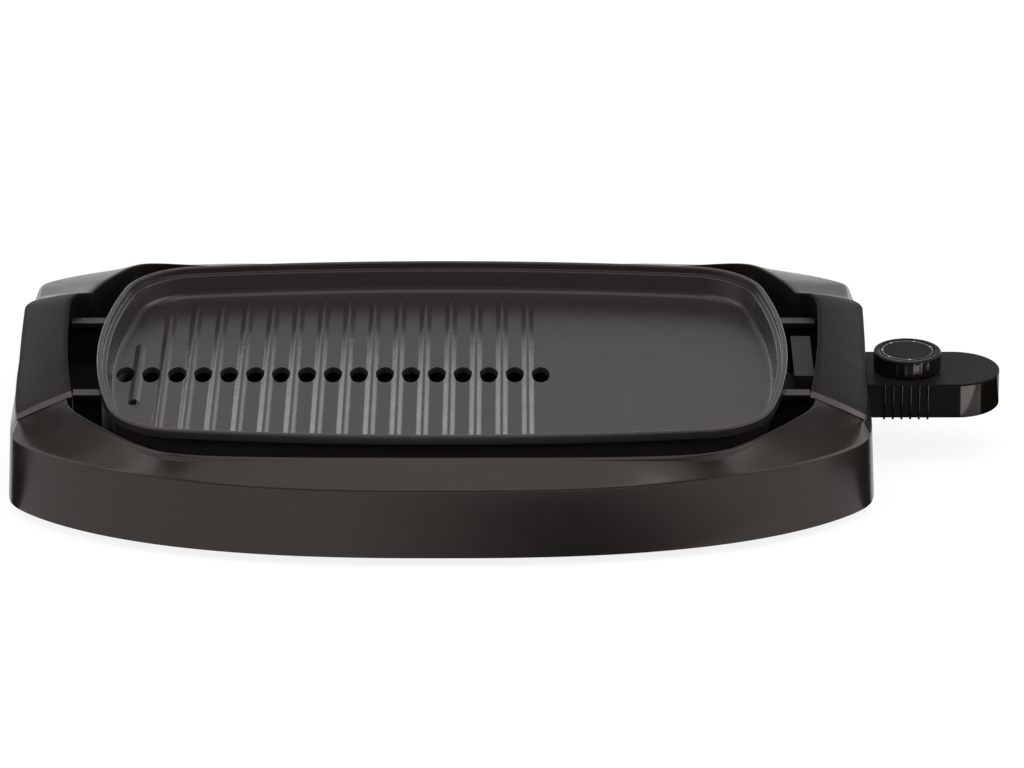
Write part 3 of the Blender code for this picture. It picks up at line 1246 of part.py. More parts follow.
def build_housing():
    """Upper and lower shell of the thermostat, with grip lines on the sides."""
    split = HOUSING_SPLIT_Z
    upper = upright_slab("thermostat_upper_shell", housing_outline(0.0), split + SEAT_GAP / 2, HOUSING_TOP_Z)
    round_edges(upper, HOUSING_EDGE)
    lower = upright_slab("thermostat_lower_shell", housing_outline(0.0), HOUSING_FOOT_Z, split - SEAT_GAP / 2)
    round_edges(lower, HOUSING_EDGE)
    upper_lines = grip_lines(split + SEAT_GAP * 2, HOUSING_TOP_Z + GRIP_LINE_TOP)
    lower_lines = grip_lines(HOUSING_FOOT_Z - GRIP_LINE_FOOT, split - SEAT_GAP * 2)
    boolean(upper, join_shapes("upper_grip_lines", upper_lines), "UNION")
    boolean(lower, join_shapes("lower_grip_lines", lower_lines), "UNION")
    inner = housing_outline(HOUSING_WALL)
    boolean(upper, upright_slab("upper_hollow", inner, split - OVERRUN, HOUSING_TOP_Z - HOUSING_WALL), "DIFFERENCE")
    boolean(lower, upright_slab("lower_hollow", inner, HOUSING_FOOT_Z + HOUSING_WALL, split + OVERRUN), "DIFFERENCE")
    boolean(upper, nose_cutter("upper_nose_cut"), "DIFFERENCE")
    boolean(lower, nose_cutter("lower_nose_cut"), "DIFFERENCE")
    boolean(upper, gland_cutter("upper_gland_cut"), "DIFFERENCE")
    boolean(lower, gland_cutter("lower_gland_cut"), "DIFFERENCE")
    bore = rod("spindle_bore", (DIAL_X, 0, split), (0, 0, 1), HOUSING_TOP_Z - split + OVERRUN,
               SPINDLE_RADIUS + SLIDE_GAP, 20)
    boolean(upper, bore, "DIFFERENCE")
    place(smooth(upper), GLOSS_PLASTIC, THERMOSTAT_BODY)
    place(smooth(lower), GLOSS_PLASTIC, THERMOSTAT_BODY)


def build_nose():
    """Nose with the two sockets, open at the top, and the hole for the probe."""
    nose = box("plug_nose", (NOSE_INNER_X, -NOSE_HALF_WIDTH, NOSE_FOOT_Z), (NOSE_OUTER_X, NOSE_HALF_WIDTH, NOSE_TOP_Z))
    sockets = []
    for side in (-1, 1):
        y = side * PIN_Y
        sockets.append(box("socket", (NOSE_INNER_X - OVERRUN, y - SOCKET_WIDTH / 2, NOSE_FOOT_Z + SOCKET_FLOOR),
                           (NOSE_INNER_X + SOCKET_DEPTH, y + SOCKET_WIDTH / 2, NOSE_TOP_Z + OVERRUN)))
    sockets.append(rod("probe_hole", (NOSE_INNER_X - OVERRUN, 0, ELEMENT_Z), (1, 0, 0),
                       NOSE_OUTER_X - NOSE_INNER_X + 2 * OVERRUN, PROBE_RADIUS + SEAT_GAP, 16))
    boolean(nose, join_shapes("nose_sockets", sockets), "DIFFERENCE")
    place(nose, DARK_PLASTIC, THERMOSTAT_BODY)
    foot = NOSE_FOOT_Z + SOCKET_FLOOR + SEAT_GAP
    for side, name in ((-1, "front"), (1, "rear")):
        y = side * PIN_Y
        outer = SOCKET_WIDTH / 2 - SEAT_GAP
        inner = outer - CONTACT_WALL
        outline = [(y - outer, foot + CONTACT_HEIGHT), (y - outer, foot), (y + outer, foot),
                   (y + outer, foot + CONTACT_HEIGHT), (y + inner, foot + CONTACT_HEIGHT),
                   (y + inner, foot + CONTACT_WALL), (y - inner, foot + CONTACT_WALL),
                   (y - inner, foot + CONTACT_HEIGHT)]
        contact = along_x(f"socket_contact_{name}", outline, NOSE_INNER_X + CONTACT_WALL,
                          NOSE_INNER_X + SOCKET_DEPTH - SEAT_GAP)
        place(contact, PIN_BRASS, THERMOSTAT_BODY)


def build_switch():
    """Probe rod, switch block and contact leaf inside the housing, and the gland of the cable."""
    switch_x = DIAL_X - SWITCH_LENGTH / 2
    foot = HOUSING_FOOT_Z + HOUSING_WALL + SEAT_GAP
    probe = rod("probe_rod", (PROBE_TIP_X, 0, ELEMENT_Z), (1, 0, 0), switch_x - SEAT_GAP - PROBE_TIP_X,
                PROBE_RADIUS, 16)
    place(smooth(probe), ELEMENT_STEEL, THERMOSTAT_BODY)
    switch = box("switch_block", (switch_x, -SWITCH_HALF_WIDTH, foot),
                 (switch_x + SWITCH_LENGTH, SWITCH_HALF_WIDTH, foot + SWITCH_HEIGHT))
    round_edges(switch, HOUSING_EDGE, 1)
    place(switch, CERAMIC, THERMOSTAT_BODY)
    leaf_z = foot + SWITCH_HEIGHT + SEAT_GAP
    leaf = box("contact_leaf", (switch_x + LEAF_WIDTH, -LEAF_WIDTH / 2, leaf_z),
               (switch_x + SWITCH_LENGTH - LEAF_WIDTH / 2, LEAF_WIDTH / 2, leaf_z + LEAF_THICKNESS))
    place(leaf, PIN_BRASS, THERMOSTAT_BODY)
    start = HOUSING_HALF_WIDTH - GLAND_INNER
    gland = rod("cable_gland", (GLAND_X, start, HOUSING_SPLIT_Z), (0, 1, 0), GLAND_INNER + GLAND_OUTER,
                GLAND_RADIUS, 20)
    bore = rod("gland_bore", (GLAND_X, start - OVERRUN, HOUSING_SPLIT_Z), (0, 1, 0),
               GLAND_INNER + GLAND_OUTER + 2 * OVERRUN, GLAND_BORE, 16)
    boolean(gland, bore, "DIFFERENCE")
    place(smooth(gland), RUBBER, THERMOSTAT_BODY)
    return leaf_z + LEAF_THICKNESS


def build_dial(spindle_foot_z):
    """Fluted dial with a face disc, on a spindle that reaches the switch."""
    foot = HOUSING_TOP_Z + GRIP_LINE_TOP + SEAT_GAP
    top = foot + DIAL_HEIGHT
    recess = FACE_RADIUS + SEAT_GAP
    profile = [(0.0, top - FACE_THICKNESS), (recess, top - FACE_THICKNESS), (recess, top)]
    for index in range(DIAL_ROUND_STEPS + 1):
        turn = math.pi / 2 * index / DIAL_ROUND_STEPS
        profile.append((DIAL_RADIUS - DIAL_ROUND + DIAL_ROUND * math.sin(turn),
                        top - DIAL_ROUND + DIAL_ROUND * math.cos(turn)))
    bore = SPINDLE_RADIUS + SEAT_GAP
    bore_top = foot + SPINDLE_ENGAGE
    profile += [(DIAL_RADIUS, foot), (bore, foot), (bore, bore_top), (0.0, bore_top)]
    knob = turned("dial_knob", profile, DIAL_STEPS, (DIAL_X, 0.0, 0.0))
    flutes = []
    for index in range(DIAL_FLUTES):
        turn = 2 * math.pi * index / DIAL_FLUTES
        reach = DIAL_RADIUS + DIAL_FLUTE_RADIUS - DIAL_FLUTE_DEPTH
        flutes.append(rod("flute", (DIAL_X + reach * math.cos(turn), reach * math.sin(turn), foot - OVERRUN),
                          (0, 0, 1), DIAL_HEIGHT - DIAL_ROUND + OVERRUN, DIAL_FLUTE_RADIUS,
                          DIAL_FLUTE_SIDES))
    boolean(knob, join_shapes("dial_flutes", flutes), "DIFFERENCE")
    place(knob, DIAL_PLASTIC, DIAL_BODY)
    face = rod("dial_face", (DIAL_X, 0, top - FACE_THICKNESS + SEAT_GAP), (0, 0, 1), FACE_THICKNESS - SEAT_GAP,
               FACE_RADIUS, DIAL_STEPS)
    place(face, FACE_PRINT, DIAL_BODY)
    start = spindle_foot_z + SEAT_GAP
    spindle = rod("dial_spindle", (DIAL_X, 0, start), (0, 0, 1), bore_top - SEAT_GAP - start, SPINDLE_RADIUS, 16)
    place(smooth(spindle), SCREW_STEEL, DIAL_BODY)


build_base_shell()
build_grip("grip_right", 1)
build_grip("grip_left", -1)
for cup_name, cup_x, cup_y in (("finger_cup_front_left", -1, -1), ("finger_cup_front_right", 1, -1),
                               ("finger_cup_rear_left", -1, 1), ("finger_cup_rear_right", 1, 1)):
    build_cup(cup_name, cup_x, cup_y)
build_bottom_cover()
build_feet()
build_cover_screws()
build_heat_shield()
build_rests()
build_hood()
build_drawer_rails()
build_drawer()
build_plate()
build_element()
build_terminals()
build_clips()
build_housing()
build_nose()
leaf_top_z = build_switch()
build_dial(leaf_top_z)
GRILL.location = (-FOOTPRINT_X, -FOOTPRINT_Y, 0.0)
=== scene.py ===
"""Electric table grill, put together piece by piece: base, grips, well fittings, plate, drawer,
thermostat and dial, then the studio around it. Sizes are metres.
"""

import math

import bmesh
import bpy
from mathutils import Matrix, Vector


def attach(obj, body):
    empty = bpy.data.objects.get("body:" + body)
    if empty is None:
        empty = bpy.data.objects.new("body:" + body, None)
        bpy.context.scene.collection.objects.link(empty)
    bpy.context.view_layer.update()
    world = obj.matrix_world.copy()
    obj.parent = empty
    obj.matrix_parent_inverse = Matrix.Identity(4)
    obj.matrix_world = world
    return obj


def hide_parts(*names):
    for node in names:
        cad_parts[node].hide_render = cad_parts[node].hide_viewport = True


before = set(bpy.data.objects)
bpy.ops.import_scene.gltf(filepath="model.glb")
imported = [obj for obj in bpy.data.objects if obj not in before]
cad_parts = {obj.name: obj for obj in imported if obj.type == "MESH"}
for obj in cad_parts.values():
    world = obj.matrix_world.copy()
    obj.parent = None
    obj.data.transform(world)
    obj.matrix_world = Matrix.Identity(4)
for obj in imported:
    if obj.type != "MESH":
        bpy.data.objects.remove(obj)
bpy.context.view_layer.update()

# Base shell
# The whole lower housing is one injection moulding in warm black satin plastic: a bowed skirt, the
# sloped deck, the well wall and the shelf that runs round inside it. The drawer, the plug and the
# fingers reach in through openings in the skirt.
grill_x, grill_y = -0.041275, 0.0005
well_half_x, well_front, well_rear, well_power = 0.2354, 0.1640, 0.1585, 30.0
well_cuts = {"front": (0.0432, math.radians(46.0)), "rear": (0.0321, math.radians(26.0))}
half_length, side_curve = 0.2724, 1.500
bows = {"front": (0.1900, 0.0276, 2.5, 70.0), "rear": (0.1890, 0.0376, 3.0, 150.0)}
wall = 0.0026
rim_middle, rim_rise, rim_round, rim_wall = 0.0628, 0.0070, 0.0014, 0.0060
foot_z, skirt_top, skirt_draft, skirt_round = 0.0060, 0.0500, 0.0020, 0.0013
shoulder_rise, shoulder_rear_extra = 0.0092, 0.0012
shoulder_insets = {"middle": 0.0015, "front": 0.0050, "rear": 0.0058}
shoulder_lifts = {"front": 1.0, "rear": 1.4}
shoulder_bend, loose_bend, loose_turn = 0.0020, 0.0160, math.radians(4.0)
front_fade, rear_fade, rear_fade_start, rear_fade_depth = (
    math.radians(7.5), math.radians(38.0), math.radians(42.0), 0.7)
deck_lifts = {"front": (0.0005, math.radians(0.05), math.radians(4.0)),
              "rear": (0.0026, math.radians(0.25), math.radians(30.0))}
shelf_z, shelf_inner, shelf_round = 0.0350, 0.0398, 0.0012
grip_end, grip_round, grip_tuck = math.radians(20.3), math.radians(14.0), math.radians(1.5)
grip_flange, seat_gap = 0.0027, 0.0003
grip_inner_edge, grip_inner_flare = (0.2385, 0.0635, 1.375), 0.0075
past_skirt = 0.002
shell_openings = {
    "drawer": ((-half_length - past_skirt, -0.0345, 0.0101), (-half_length + 0.0104, 0.0345, 0.0315)),
    "thermostat": ((0.2484, -0.02935, 0.0325), (half_length + past_skirt, 0.02935, 0.0561)),
    "plug_nose": ((0.2229, -0.0237, 0.0361), (0.2509, 0.0237, 0.0474)),
}
finger_hole, finger_hole_x, finger_hole_y = ((-0.0062, -0.0230, 0.0270), (0.0062, 0.0230, 0.0460)), 0.2682, 0.0610
drip_opening = ((-0.213675, -0.026, 0.0304), (0.074125, 0.026, 0.0410))


def smooth_step(value):
    """Rise smoothly from 0 to 1."""
    held = min(max(value, 0.0), 1.0)
    return held * held * (3.0 - 2.0 * held)


def turn_from_end(angle):
    """Angle between a direction and the long axis, 0 to a right angle."""
    return math.atan2(abs(math.sin(angle)), abs(math.cos(angle)))


def facing(angle):
    return "front" if math.sin(angle) < 0 else "rear"


def skirt_foot(angle):
    """Plan of the skirt's foot: bowed front and rear, slightly bowed ends."""
    half_y, overreach, power, corner = bows[facing(angle)]
    across, along = abs(math.cos(angle)), abs(math.sin(angle))
    bow = ((across / (half_length + overreach)) ** power + (along / half_y) ** power) ** (-1.0 / power)
    end = ((across / half_length) ** 2 + (along / side_curve) ** 2) ** -0.5
    near, far = sorted((bow, end))
    return near * (1.0 + (near / far) ** corner) ** (-1.0 / corner)


def well_plan(angle):
    """Plan of the well: a rounded rectangle with its corners cut."""
    half_y = well_front if facing(angle) == "front" else well_rear
    cut, cut_turn = well_cuts[facing(angle)]
    reach = well_half_x * math.cos(cut_turn) + half_y * math.sin(cut_turn) - cut
    turn = turn_from_end(angle)
    shares = (math.cos(turn) / well_half_x, math.sin(turn) / half_y, math.cos(turn - cut_turn) / reach)
    return sum(share ** well_power for share in shares) ** (-1.0 / well_power)


def rim_height(angle):
    """The well's edge is lowest at the middle of the front and highest beside the grips."""
    share = well_plan(angle) * abs(math.cos(angle)) / (well_half_x * math.cos(grip_end))
    return rim_middle + rim_rise * min(share, 1.0) ** 4


def deck_lift(angle):
    """Behind the grips the deck stands up flush with them and sinks away along the rear; before them
    it closes the joint."""
    height, rise_turn, sink_turn = deck_lifts[facing(angle)]
    past = turn_from_end(angle) - grip_end
    return height * smooth_step(past / rise_turn) * (1.0 - smooth_step(past / sink_turn))


def shoulder(angle):
    """Radius and height of the shoulder that carries the grip just inside the skirt."""
    share = min(turn_from_end(angle) / grip_end, 1.0)
    middle = shoulder_insets["middle"]
    inset = middle + (shoulder_insets[facing(angle)] - middle) * share * share
    top = skirt_foot(angle) - skirt_draft
    slope = (rim_height(angle) - skirt_top) * inset / (top - well_plan(angle))
    if facing(angle) == "front":
        past = (turn_from_end(angle) - grip_end) / front_fade
        weight = (1.0 - min(max(past, 0.0), 1.0)) ** 2
    else:
        weight = 1.0 - rear_fade_depth * smooth_step((turn_from_end(angle) - rear_fade_start) / rear_fade)
    rearward = smooth_step((math.sin(angle) / math.sin(grip_end) + 1.0) / 2.0)
    rise = shoulder_rise + shoulder_rear_extra * rearward
    height = skirt_top + rise * weight + slope * (1.0 - weight)
    return top - inset, height + shoulder_lifts[facing(angle)] * deck_lift(angle)


def end_edge(angle, half_x, slant, bow_radius):
    """Edge along an end of the grill that bows a little and leans outwards to the rear."""
    x = half_x
    for _ in range(8):
        y = x * math.sin(angle) / abs(math.cos(angle))
        x = half_x + slant * y - y * y / (2.0 * bow_radius)
    return x / abs(math.cos(angle))


def rear_share(angle, start):
    if math.sin(angle) < 0:
        return 0.0
    return min(max((turn_from_end(angle) - start) / (grip_end - start), 0.0), 1.0)


def grip_inside(angle):
    return end_edge(angle, *grip_inner_edge) - grip_inner_flare * rear_share(angle, grip_round) ** 3


def well_edge(angle):
    """The well wall steps back where a grip's flange hangs inside it."""
    weight = 1.0 - smooth_step((turn_from_end(angle) - grip_end) / grip_tuck)
    if weight == 0.0:
        return well_plan(angle)
    held = math.copysign(min(turn_from_end(angle), grip_end), math.sin(angle))
    return well_plan(angle) + (grip_inside(held) + grip_flange + seat_gap - well_plan(held)) * weight


def curve_between(first, corner, last, steps):
    """Points of a soft bend from first to last that leans on a corner."""
    points = []
    for index in range(steps + 1):
        t = index / steps
        points.append(tuple(a * (1 - t) ** 2 + 2 * b * t * (1 - t) + c * t * t
                            for a, b, c in zip(first, corner, last)))
    return points


def towards(first, last, share):
    return tuple(a + (b - a) * share for a, b in zip(first, last))


def spaced(start, stop, steps):
    """Even steps from a start, without the stop itself."""
    return [start + (stop - start) * index / steps for index in range(steps)]


def shell_section(angle):
    """Section of the shell at one direction, from the skirt's foot over the deck to the shelf."""
    foot, top = skirt_foot(angle), skirt_foot(angle) - skirt_draft
    corner, below = (top, skirt_top), (top, skirt_top - skirt_round)
    bank = shoulder(angle)
    edge, rim = well_edge(angle), rim_height(angle) + deck_lift(angle)
    crest = (edge + rim_round, rim + (bank[1] - rim) * rim_round / (bank[0] - edge))
    points = [towards((foot, foot_z), below, share / 3) for share in range(3)]
    start = towards(corner, bank, skirt_round / math.dist(corner, bank))
    points += curve_between(below, corner, start, 4)
    loose = smooth_step((turn_from_end(angle) - grip_end) / loose_turn) if facing(angle) == "front" else 0.0
    bend = min(0.5, (shoulder_bend + loose_bend * loose) / math.dist(bank, crest))
    lean = min(0.9, shoulder_bend / math.dist(start, bank)) * (1.0 - loose) + loose
    points += curve_between(towards(bank, start, lean), bank, towards(bank, crest, bend), 10)
    points += [towards(bank, crest, bend + (1.0 - bend) * index / 10) for index in range(1, 11)]
    points += curve_between(crest, (edge, rim), (edge, rim - rim_round), 5)[1:]
    points.append((edge, rim - rim_wall))
    points += curve_between((edge, shelf_z + shelf_round), (edge, shelf_z), (edge - shelf_round, shelf_z), 3)
    return points + [(well_plan(angle) - shelf_inner, shelf_z)]


def skin(sections, closed_turn=True, closed_section=False):
    """A grid of faces laid over sections of equally many points."""
    shape = bmesh.new()
    stations = len(sections) - (0 if closed_turn else 1)
    rows = len(sections[0]) - (0 if closed_section else 1)
    bmesh.ops.create_grid(shape, x_segments=stations, y_segments=rows, size=1.0)
    for vert in shape.verts:
        station = round((vert.co.x + 1.0) / 2.0 * stations) % len(sections)
        row = round((vert.co.y + 1.0) / 2.0 * rows) % len(sections[0])
        vert.co = sections[station][row]
    bmesh.ops.remove_doubles(shape, verts=shape.verts, dist=0.000001)
    return shape


def around(angle, radius, z):
    return radius * math.cos(angle), radius * math.sin(angle), z


def as_piece(name, shape, sharp=35.0, outwards=True):
    """Turn a shape made about the grill's middle into an object in its place."""
    if outwards:
        bmesh.ops.recalc_face_normals(shape, faces=shape.faces)
    bmesh.ops.translate(shape, vec=(grill_x, grill_y, 0.0), verts=shape.verts)
    mesh = bpy.data.meshes.new(name)
    shape.to_mesh(mesh)
    shape.free()
    mesh.shade_smooth()
    mesh.set_sharp_from_angle(angle=math.radians(sharp))
    piece = bpy.data.objects.new(name, mesh)
    bpy.context.scene.collection.objects.link(piece)
    return piece


def bake(piece, sharp=35.0):
    """Make the modifiers of a piece part of its mesh."""
    graph = bpy.context.evaluated_depsgraph_get()
    mesh = bpy.data.meshes.new_from_object(piece.evaluated_get(graph))
    piece.modifiers.clear()
    old = piece.data
    piece.data = mesh
    bpy.data.meshes.remove(old)
    mesh.name = piece.name
    mesh.shade_smooth()
    mesh.set_sharp_from_angle(angle=math.radians(sharp))


def cut(piece, tool, operation="DIFFERENCE", sharp=35.0):
    """Cut a tool's shape out of a piece, or join it on, and drop the tool."""
    cutter = as_piece("cutter", tool)
    change = piece.modifiers.new("cut", "BOOLEAN")
    change.operation = operation
    change.solver = "EXACT"
    change.object = cutter
    bake(piece, sharp)
    bpy.data.objects.remove(cutter, do_unlink=True)


def block(shape, low, high):
    """Add a box between two corners to a shape."""
    made = bmesh.ops.create_cube(shape, size=1.0)["verts"]
    bmesh.ops.scale(shape, vec=[b - a for a, b in zip(low, high)], verts=made)
    bmesh.ops.translate(shape, vec=[(a + b) / 2 for a, b in zip(low, high)], verts=made)
    return made


def noise_between(tree, scale, detail, low, high):
    """A noise pattern on the piece's own metres, brought between two values."""
    place = tree.nodes.get("Place") or tree.nodes.new("ShaderNodeTexCoord")
    place.name = "Place"
    noise = tree.nodes.new("ShaderNodeTexNoise")
    noise.inputs["Scale"].default_value = scale
    noise.inputs["Detail"].default_value = detail
    span = tree.nodes.new("ShaderNodeMapRange")
    span.inputs["From Min"].default_value = 0.3
    span.inputs["From Max"].default_value = 0.7
    span.inputs["To Min"].default_value = low
    span.inputs["To Max"].default_value = high
    tree.links.new(place.outputs["Object"], noise.inputs["Vector"])
    tree.links.new(noise.outputs["Fac"], span.inputs["Value"])
    return span.outputs["Result"]


def moulded(name, colour, roughness, specular, grain=1800.0, depth=0.000006, tone=0.06):
    """A moulded finish: slight changes of tone and polish, and a fine grain from the mould."""
    material = bpy.data.materials.new(name)
    material.use_nodes = True
    tree = material.node_tree
    shader = tree.nodes["Principled BSDF"]
    shader.inputs["Specular IOR Level"].default_value = specular
    shader.inputs["Specular Tint"].default_value = (1.0, 0.90, 0.87, 1.0)
    mix = tree.nodes.new("ShaderNodeMix")
    mix.data_type = "RGBA"
    mix.inputs[6].default_value = (*(channel * (1.0 - tone) for channel in colour), 1.0)
    mix.inputs[7].default_value = (*(channel * (1.0 + tone) for channel in colour), 1.0)
    tree.links.new(noise_between(tree, 22.0, 4.0, 0.0, 1.0), mix.inputs[0])
    tree.links.new(mix.outputs[2], shader.inputs["Base Color"])
    tree.links.new(noise_between(tree, 60.0, 3.0, roughness - 0.02, roughness + 0.02), shader.inputs["Roughness"])
    bump = tree.nodes.new("ShaderNodeBump")
    bump.inputs["Strength"].default_value = 1.0
    bump.inputs["Distance"].default_value = depth
    tree.links.new(noise_between(tree, grain, 2.0, 0.0, 1.0), bump.inputs["Height"])
    tree.links.new(bump.outputs["Normal"], shader.inputs["Normal"])
    material.diffuse_color = (*colour, 1.0)
    return material


def finish(node_or_piece, material):
    """Give a piece, or the slots of a CAD piece, its material."""
    slots = node_or_piece.material_slots
    if len(slots) == 0:
        node_or_piece.data.materials.append(material)
    for slot in slots:
        slot.material = material


stretches = ((0.0, 20.3, 20), (20.3, 20.55, 5), (20.55, 22.0, 6), (22.0, 46.0, 54), (46.0, 90.0, 40))
quarter = [math.radians(turn) for stretch in stretches for turn in spaced(*stretch)]
half_turn = quarter + [math.pi / 2] + [math.pi - angle for angle in reversed(quarter)]
directions = half_turn + [angle + math.pi for angle in half_turn[1:-1]]
shape = skin([[around(angle, radius, z) for radius, z in shell_section(angle)] for angle in directions])
if min(shape.faces, key=lambda face: face.calc_center_median().y).normal.y > 0:
    bmesh.ops.reverse_faces(shape, faces=shape.faces)
base_shell = as_piece("base_shell_moulding", shape, outwards=False)
thicken = base_shell.modifiers.new("wall", "SOLIDIFY")
thicken.thickness = wall
thicken.offset = -1.0
thicken.use_even_offset = True
bake(base_shell)
openings = bmesh.new()
for corners in shell_openings.values():
    block(openings, *corners)
for side_x in (-1, 1):
    for side_y in (-1, 1):
        hole = block(openings, *finger_hole)
        bmesh.ops.translate(openings, vec=(side_x * finger_hole_x, side_y * finger_hole_y, 0.0), verts=hole)
cut(base_shell, openings)
drip = bmesh.new()
block(drip, *drip_opening)
cut(base_shell, drip)
shell_plastic = moulded("satin_shell_plastic", (0.0125, 0.0108, 0.0085), 0.26, 0.45)
finish(base_shell, shell_plastic)
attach(base_shell, "base")
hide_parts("base_shell")

# Grips
# Two covers of slightly darker satin plastic clip over the ends of the deck. Each has a flange that
# hangs down inside the well, a soft crown, rounded edges, a sloped front end and a rear end that
# flares to the plate. The front slope is in glossier plastic, and its colour is lightened there as a
# painted highlight.
grip_outer_edge, grip_outer_flare, outer_flare_start = (0.2695, 0.0377, 4.170), 0.0060, math.radians(17.2)
grip_overhang, slab, crown, full_round, slope_foot = 0.0004, 0.0031, 0.0006, 0.0014, 0.0002
flange_foot, flange_middle, seat_round, edge_rise = 0.0500, 0.0560, 0.0004, 0.0001
slope_turn, cap_turn, cap_bevels = math.radians(0.62), math.radians(0.04), (0.0003, 0.0005)


def grip_outside(angle):
    edge = end_edge(angle, *grip_outer_edge) - grip_outer_flare * rear_share(angle, outer_flare_start) ** 2
    return max(edge, shoulder(angle)[0] + grip_overhang)


def grip_section(angle):
    """Closed section of a grip: flange, seat on the deck, outer edge, crown and inner edge."""
    slope = max(0.0, (-angle - grip_end + slope_turn) / slope_turn) * (slab - slope_foot)
    inside, outside = grip_inside(angle), grip_outside(angle)
    seat = inside + grip_flange
    bank, bank_z = shoulder(angle)
    seat_z, bank_z = rim_height(angle) + seat_gap, bank_z + seat_gap
    outer_top, inner_top = bank_z + slab - slope, seat_z + slab - slope
    edge_round = min(full_round, (slab - slope) * 0.8)
    points = [(inside, flange_foot), (seat, flange_foot), (seat, seat_z - seat_round), (seat + seat_round, seat_z),
              (bank, bank_z), (outside - seat_round, bank_z), (outside, bank_z + seat_round)]
    first, last = (outside - edge_round, outer_top + edge_rise), (inside + edge_round, inner_top)
    points += curve_between((outside, outer_top - edge_round), (outside, outer_top), first, 5)
    for index in range(1, 12):
        radius, z = towards(first, last, index / 12)
        points.append((radius, z + crown * 4 * (index / 12) * (1 - index / 12)))
    points += curve_between(last, (inside, inner_top), (inside, inner_top - edge_round), 5)
    return points + [(inside, flange_middle)]


def close_holes(shape):
    bmesh.ops.holes_fill(shape, edges=[edge for edge in shape.edges if edge.is_boundary])


slope_start = grip_end - slope_turn
turns = [-grip_end, -grip_end + cap_turn, -slope_start - cap_turn] + spaced(-slope_start, -grip_round, 20)
turns += spaced(-grip_round, 0.0, 24) + spaced(0.0, grip_round, 24) + spaced(grip_round, grip_end, 36) + [grip_end]
grip_plastic = moulded("satin_grip_plastic", (0.0078, 0.0066, 0.0050), 0.40, 0.025)
# Lighter, glossier copy of the grip plastic for the front slope: its lighter colour is a painted highlight.
slope_highlight = moulded("slope_highlight_plastic", (0.0125, 0.0108, 0.0085), 0.30, 0.80)
for name, side in (("grip_right", 1), ("grip_left", -1)):
    shape = skin([[(side * x, y, z) for x, y, z in (around(turn, *point) for point in grip_section(turn))]
                  for turn in turns], closed_turn=False, closed_section=True)
    close_holes(shape)
    caps = [face for face in shape.faces if len(face.verts) > 4]
    for cap, width in zip(sorted(caps, key=lambda face: face.calc_center_median().y), cap_bevels):
        rims = [edge for edge in cap.edges if min(vert.co.z for vert in edge.verts) > flange_foot + 0.0020]
        bmesh.ops.bevel(shape, geom=rims, offset=width, offset_type="OFFSET", segments=3, profile=0.5,
                        affect="EDGES", material=-1, clamp_overlap=True)
    grip = as_piece(name + "_cover", shape, 40.0)
    finish(grip, grip_plastic)
    grip.data.materials.append(slope_highlight)
    # Front slope faces that face forward and up get that plastic, a painted highlight band.
    for face in grip.data.polygons:
        near_front = face.center.y < -0.080
        if near_front and face.normal.y < -0.15 and face.normal.z > 0.1:
            face.material_index = 1
    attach(grip, "base")
    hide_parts(name)

# Finger cups, plate rests, plug hood and drawer rails
# Small mouldings in matt heat-resistant plastic, pushed onto the shelf and the inner face of the
# skirt. The plate rests have the satin finish of the shell.
dark_plastic = moulded("matt_inner_plastic", (0.0170, 0.0155, 0.0120), 0.50, 0.35, 1200.0, 0.00002)
for name in ("finger_cup_front_left", "finger_cup_front_right", "finger_cup_rear_left", "finger_cup_rear_right",
             "plug_hood", "drawer_rail_front", "drawer_rail_rear"):
    finish(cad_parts[name], dark_plastic)
for name in ("plate_rest_front_left", "plate_rest_front_right", "plate_rest_rear_left", "plate_rest_rear_right"):
    finish(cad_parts[name], shell_plastic)

# Heat shield
# A pressed sheet of aluminised steel that lies on the shelf and throws the element's heat back up.
# An oblong opening in it lets the fat drip into the drawer.


def metal(name, colour, roughness, streak):
    """Bare metal with fine streaks from rolling or drawing, and cloudy changes of polish."""
    material = bpy.data.materials.new(name)
    material.use_nodes = True
    tree = material.node_tree
    shader = tree.nodes["Principled BSDF"]
    shader.inputs["Metallic"].default_value = 1.0
    mix = tree.nodes.new("ShaderNodeMix")
    mix.data_type = "RGBA"
    mix.inputs[6].default_value = (*(channel * 0.86 for channel in colour), 1.0)
    mix.inputs[7].default_value = (*(channel * 1.05 for channel in colour), 1.0)
    tree.links.new(noise_between(tree, 45.0, 5.0, 0.0, 1.0), mix.inputs[0])
    tree.links.new(mix.outputs[2], shader.inputs["Base Color"])
    stretch = tree.nodes.new("ShaderNodeMapping")
    stretch.inputs["Scale"].default_value = (30.0, 1400.0, 1400.0)
    lines = tree.nodes.new("ShaderNodeTexNoise")
    lines.inputs["Scale"].default_value = 1.0
    lines.inputs["Detail"].default_value = 2.0
    span = tree.nodes.new("ShaderNodeMapRange")
    span.inputs["To Min"].default_value = roughness - streak
    span.inputs["To Max"].default_value = roughness + streak
    tree.links.new(tree.nodes["Place"].outputs["Object"], stretch.inputs["Vector"])
    tree.links.new(stretch.outputs["Vector"], lines.inputs["Vector"])
    tree.links.new(lines.outputs["Fac"], span.inputs["Value"])
    tree.links.new(span.outputs["Result"], shader.inputs["Roughness"])
    material.diffuse_color = (*colour, 1.0)
    return material


sheet_steel = metal("aluminised_sheet", (0.60, 0.60, 0.59), 0.34, 0.10)
finish(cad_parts["heat_shield"], sheet_steel)

# Bottom cover, feet and cover screws
# The cover is a flat vented moulding held by six zinc-plated screws. Four rubber feet are pressed
# into it.
finish(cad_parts["bottom_cover"], dark_plastic)
foot_rubber = moulded("foot_rubber", (0.020, 0.020, 0.019), 0.85, 0.25, 900.0, 0.00004, 0.12)
for name in ("foot_front_left", "foot_front_right", "foot_rear_left", "foot_rear_right"):
    finish(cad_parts[name], foot_rubber)
screw_steel = metal("zinc_plated_steel", (0.55, 0.55, 0.56), 0.30, 0.08)
for number in range(1, 7):
    finish(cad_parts[f"cover_screw_{number}"], screw_steel)

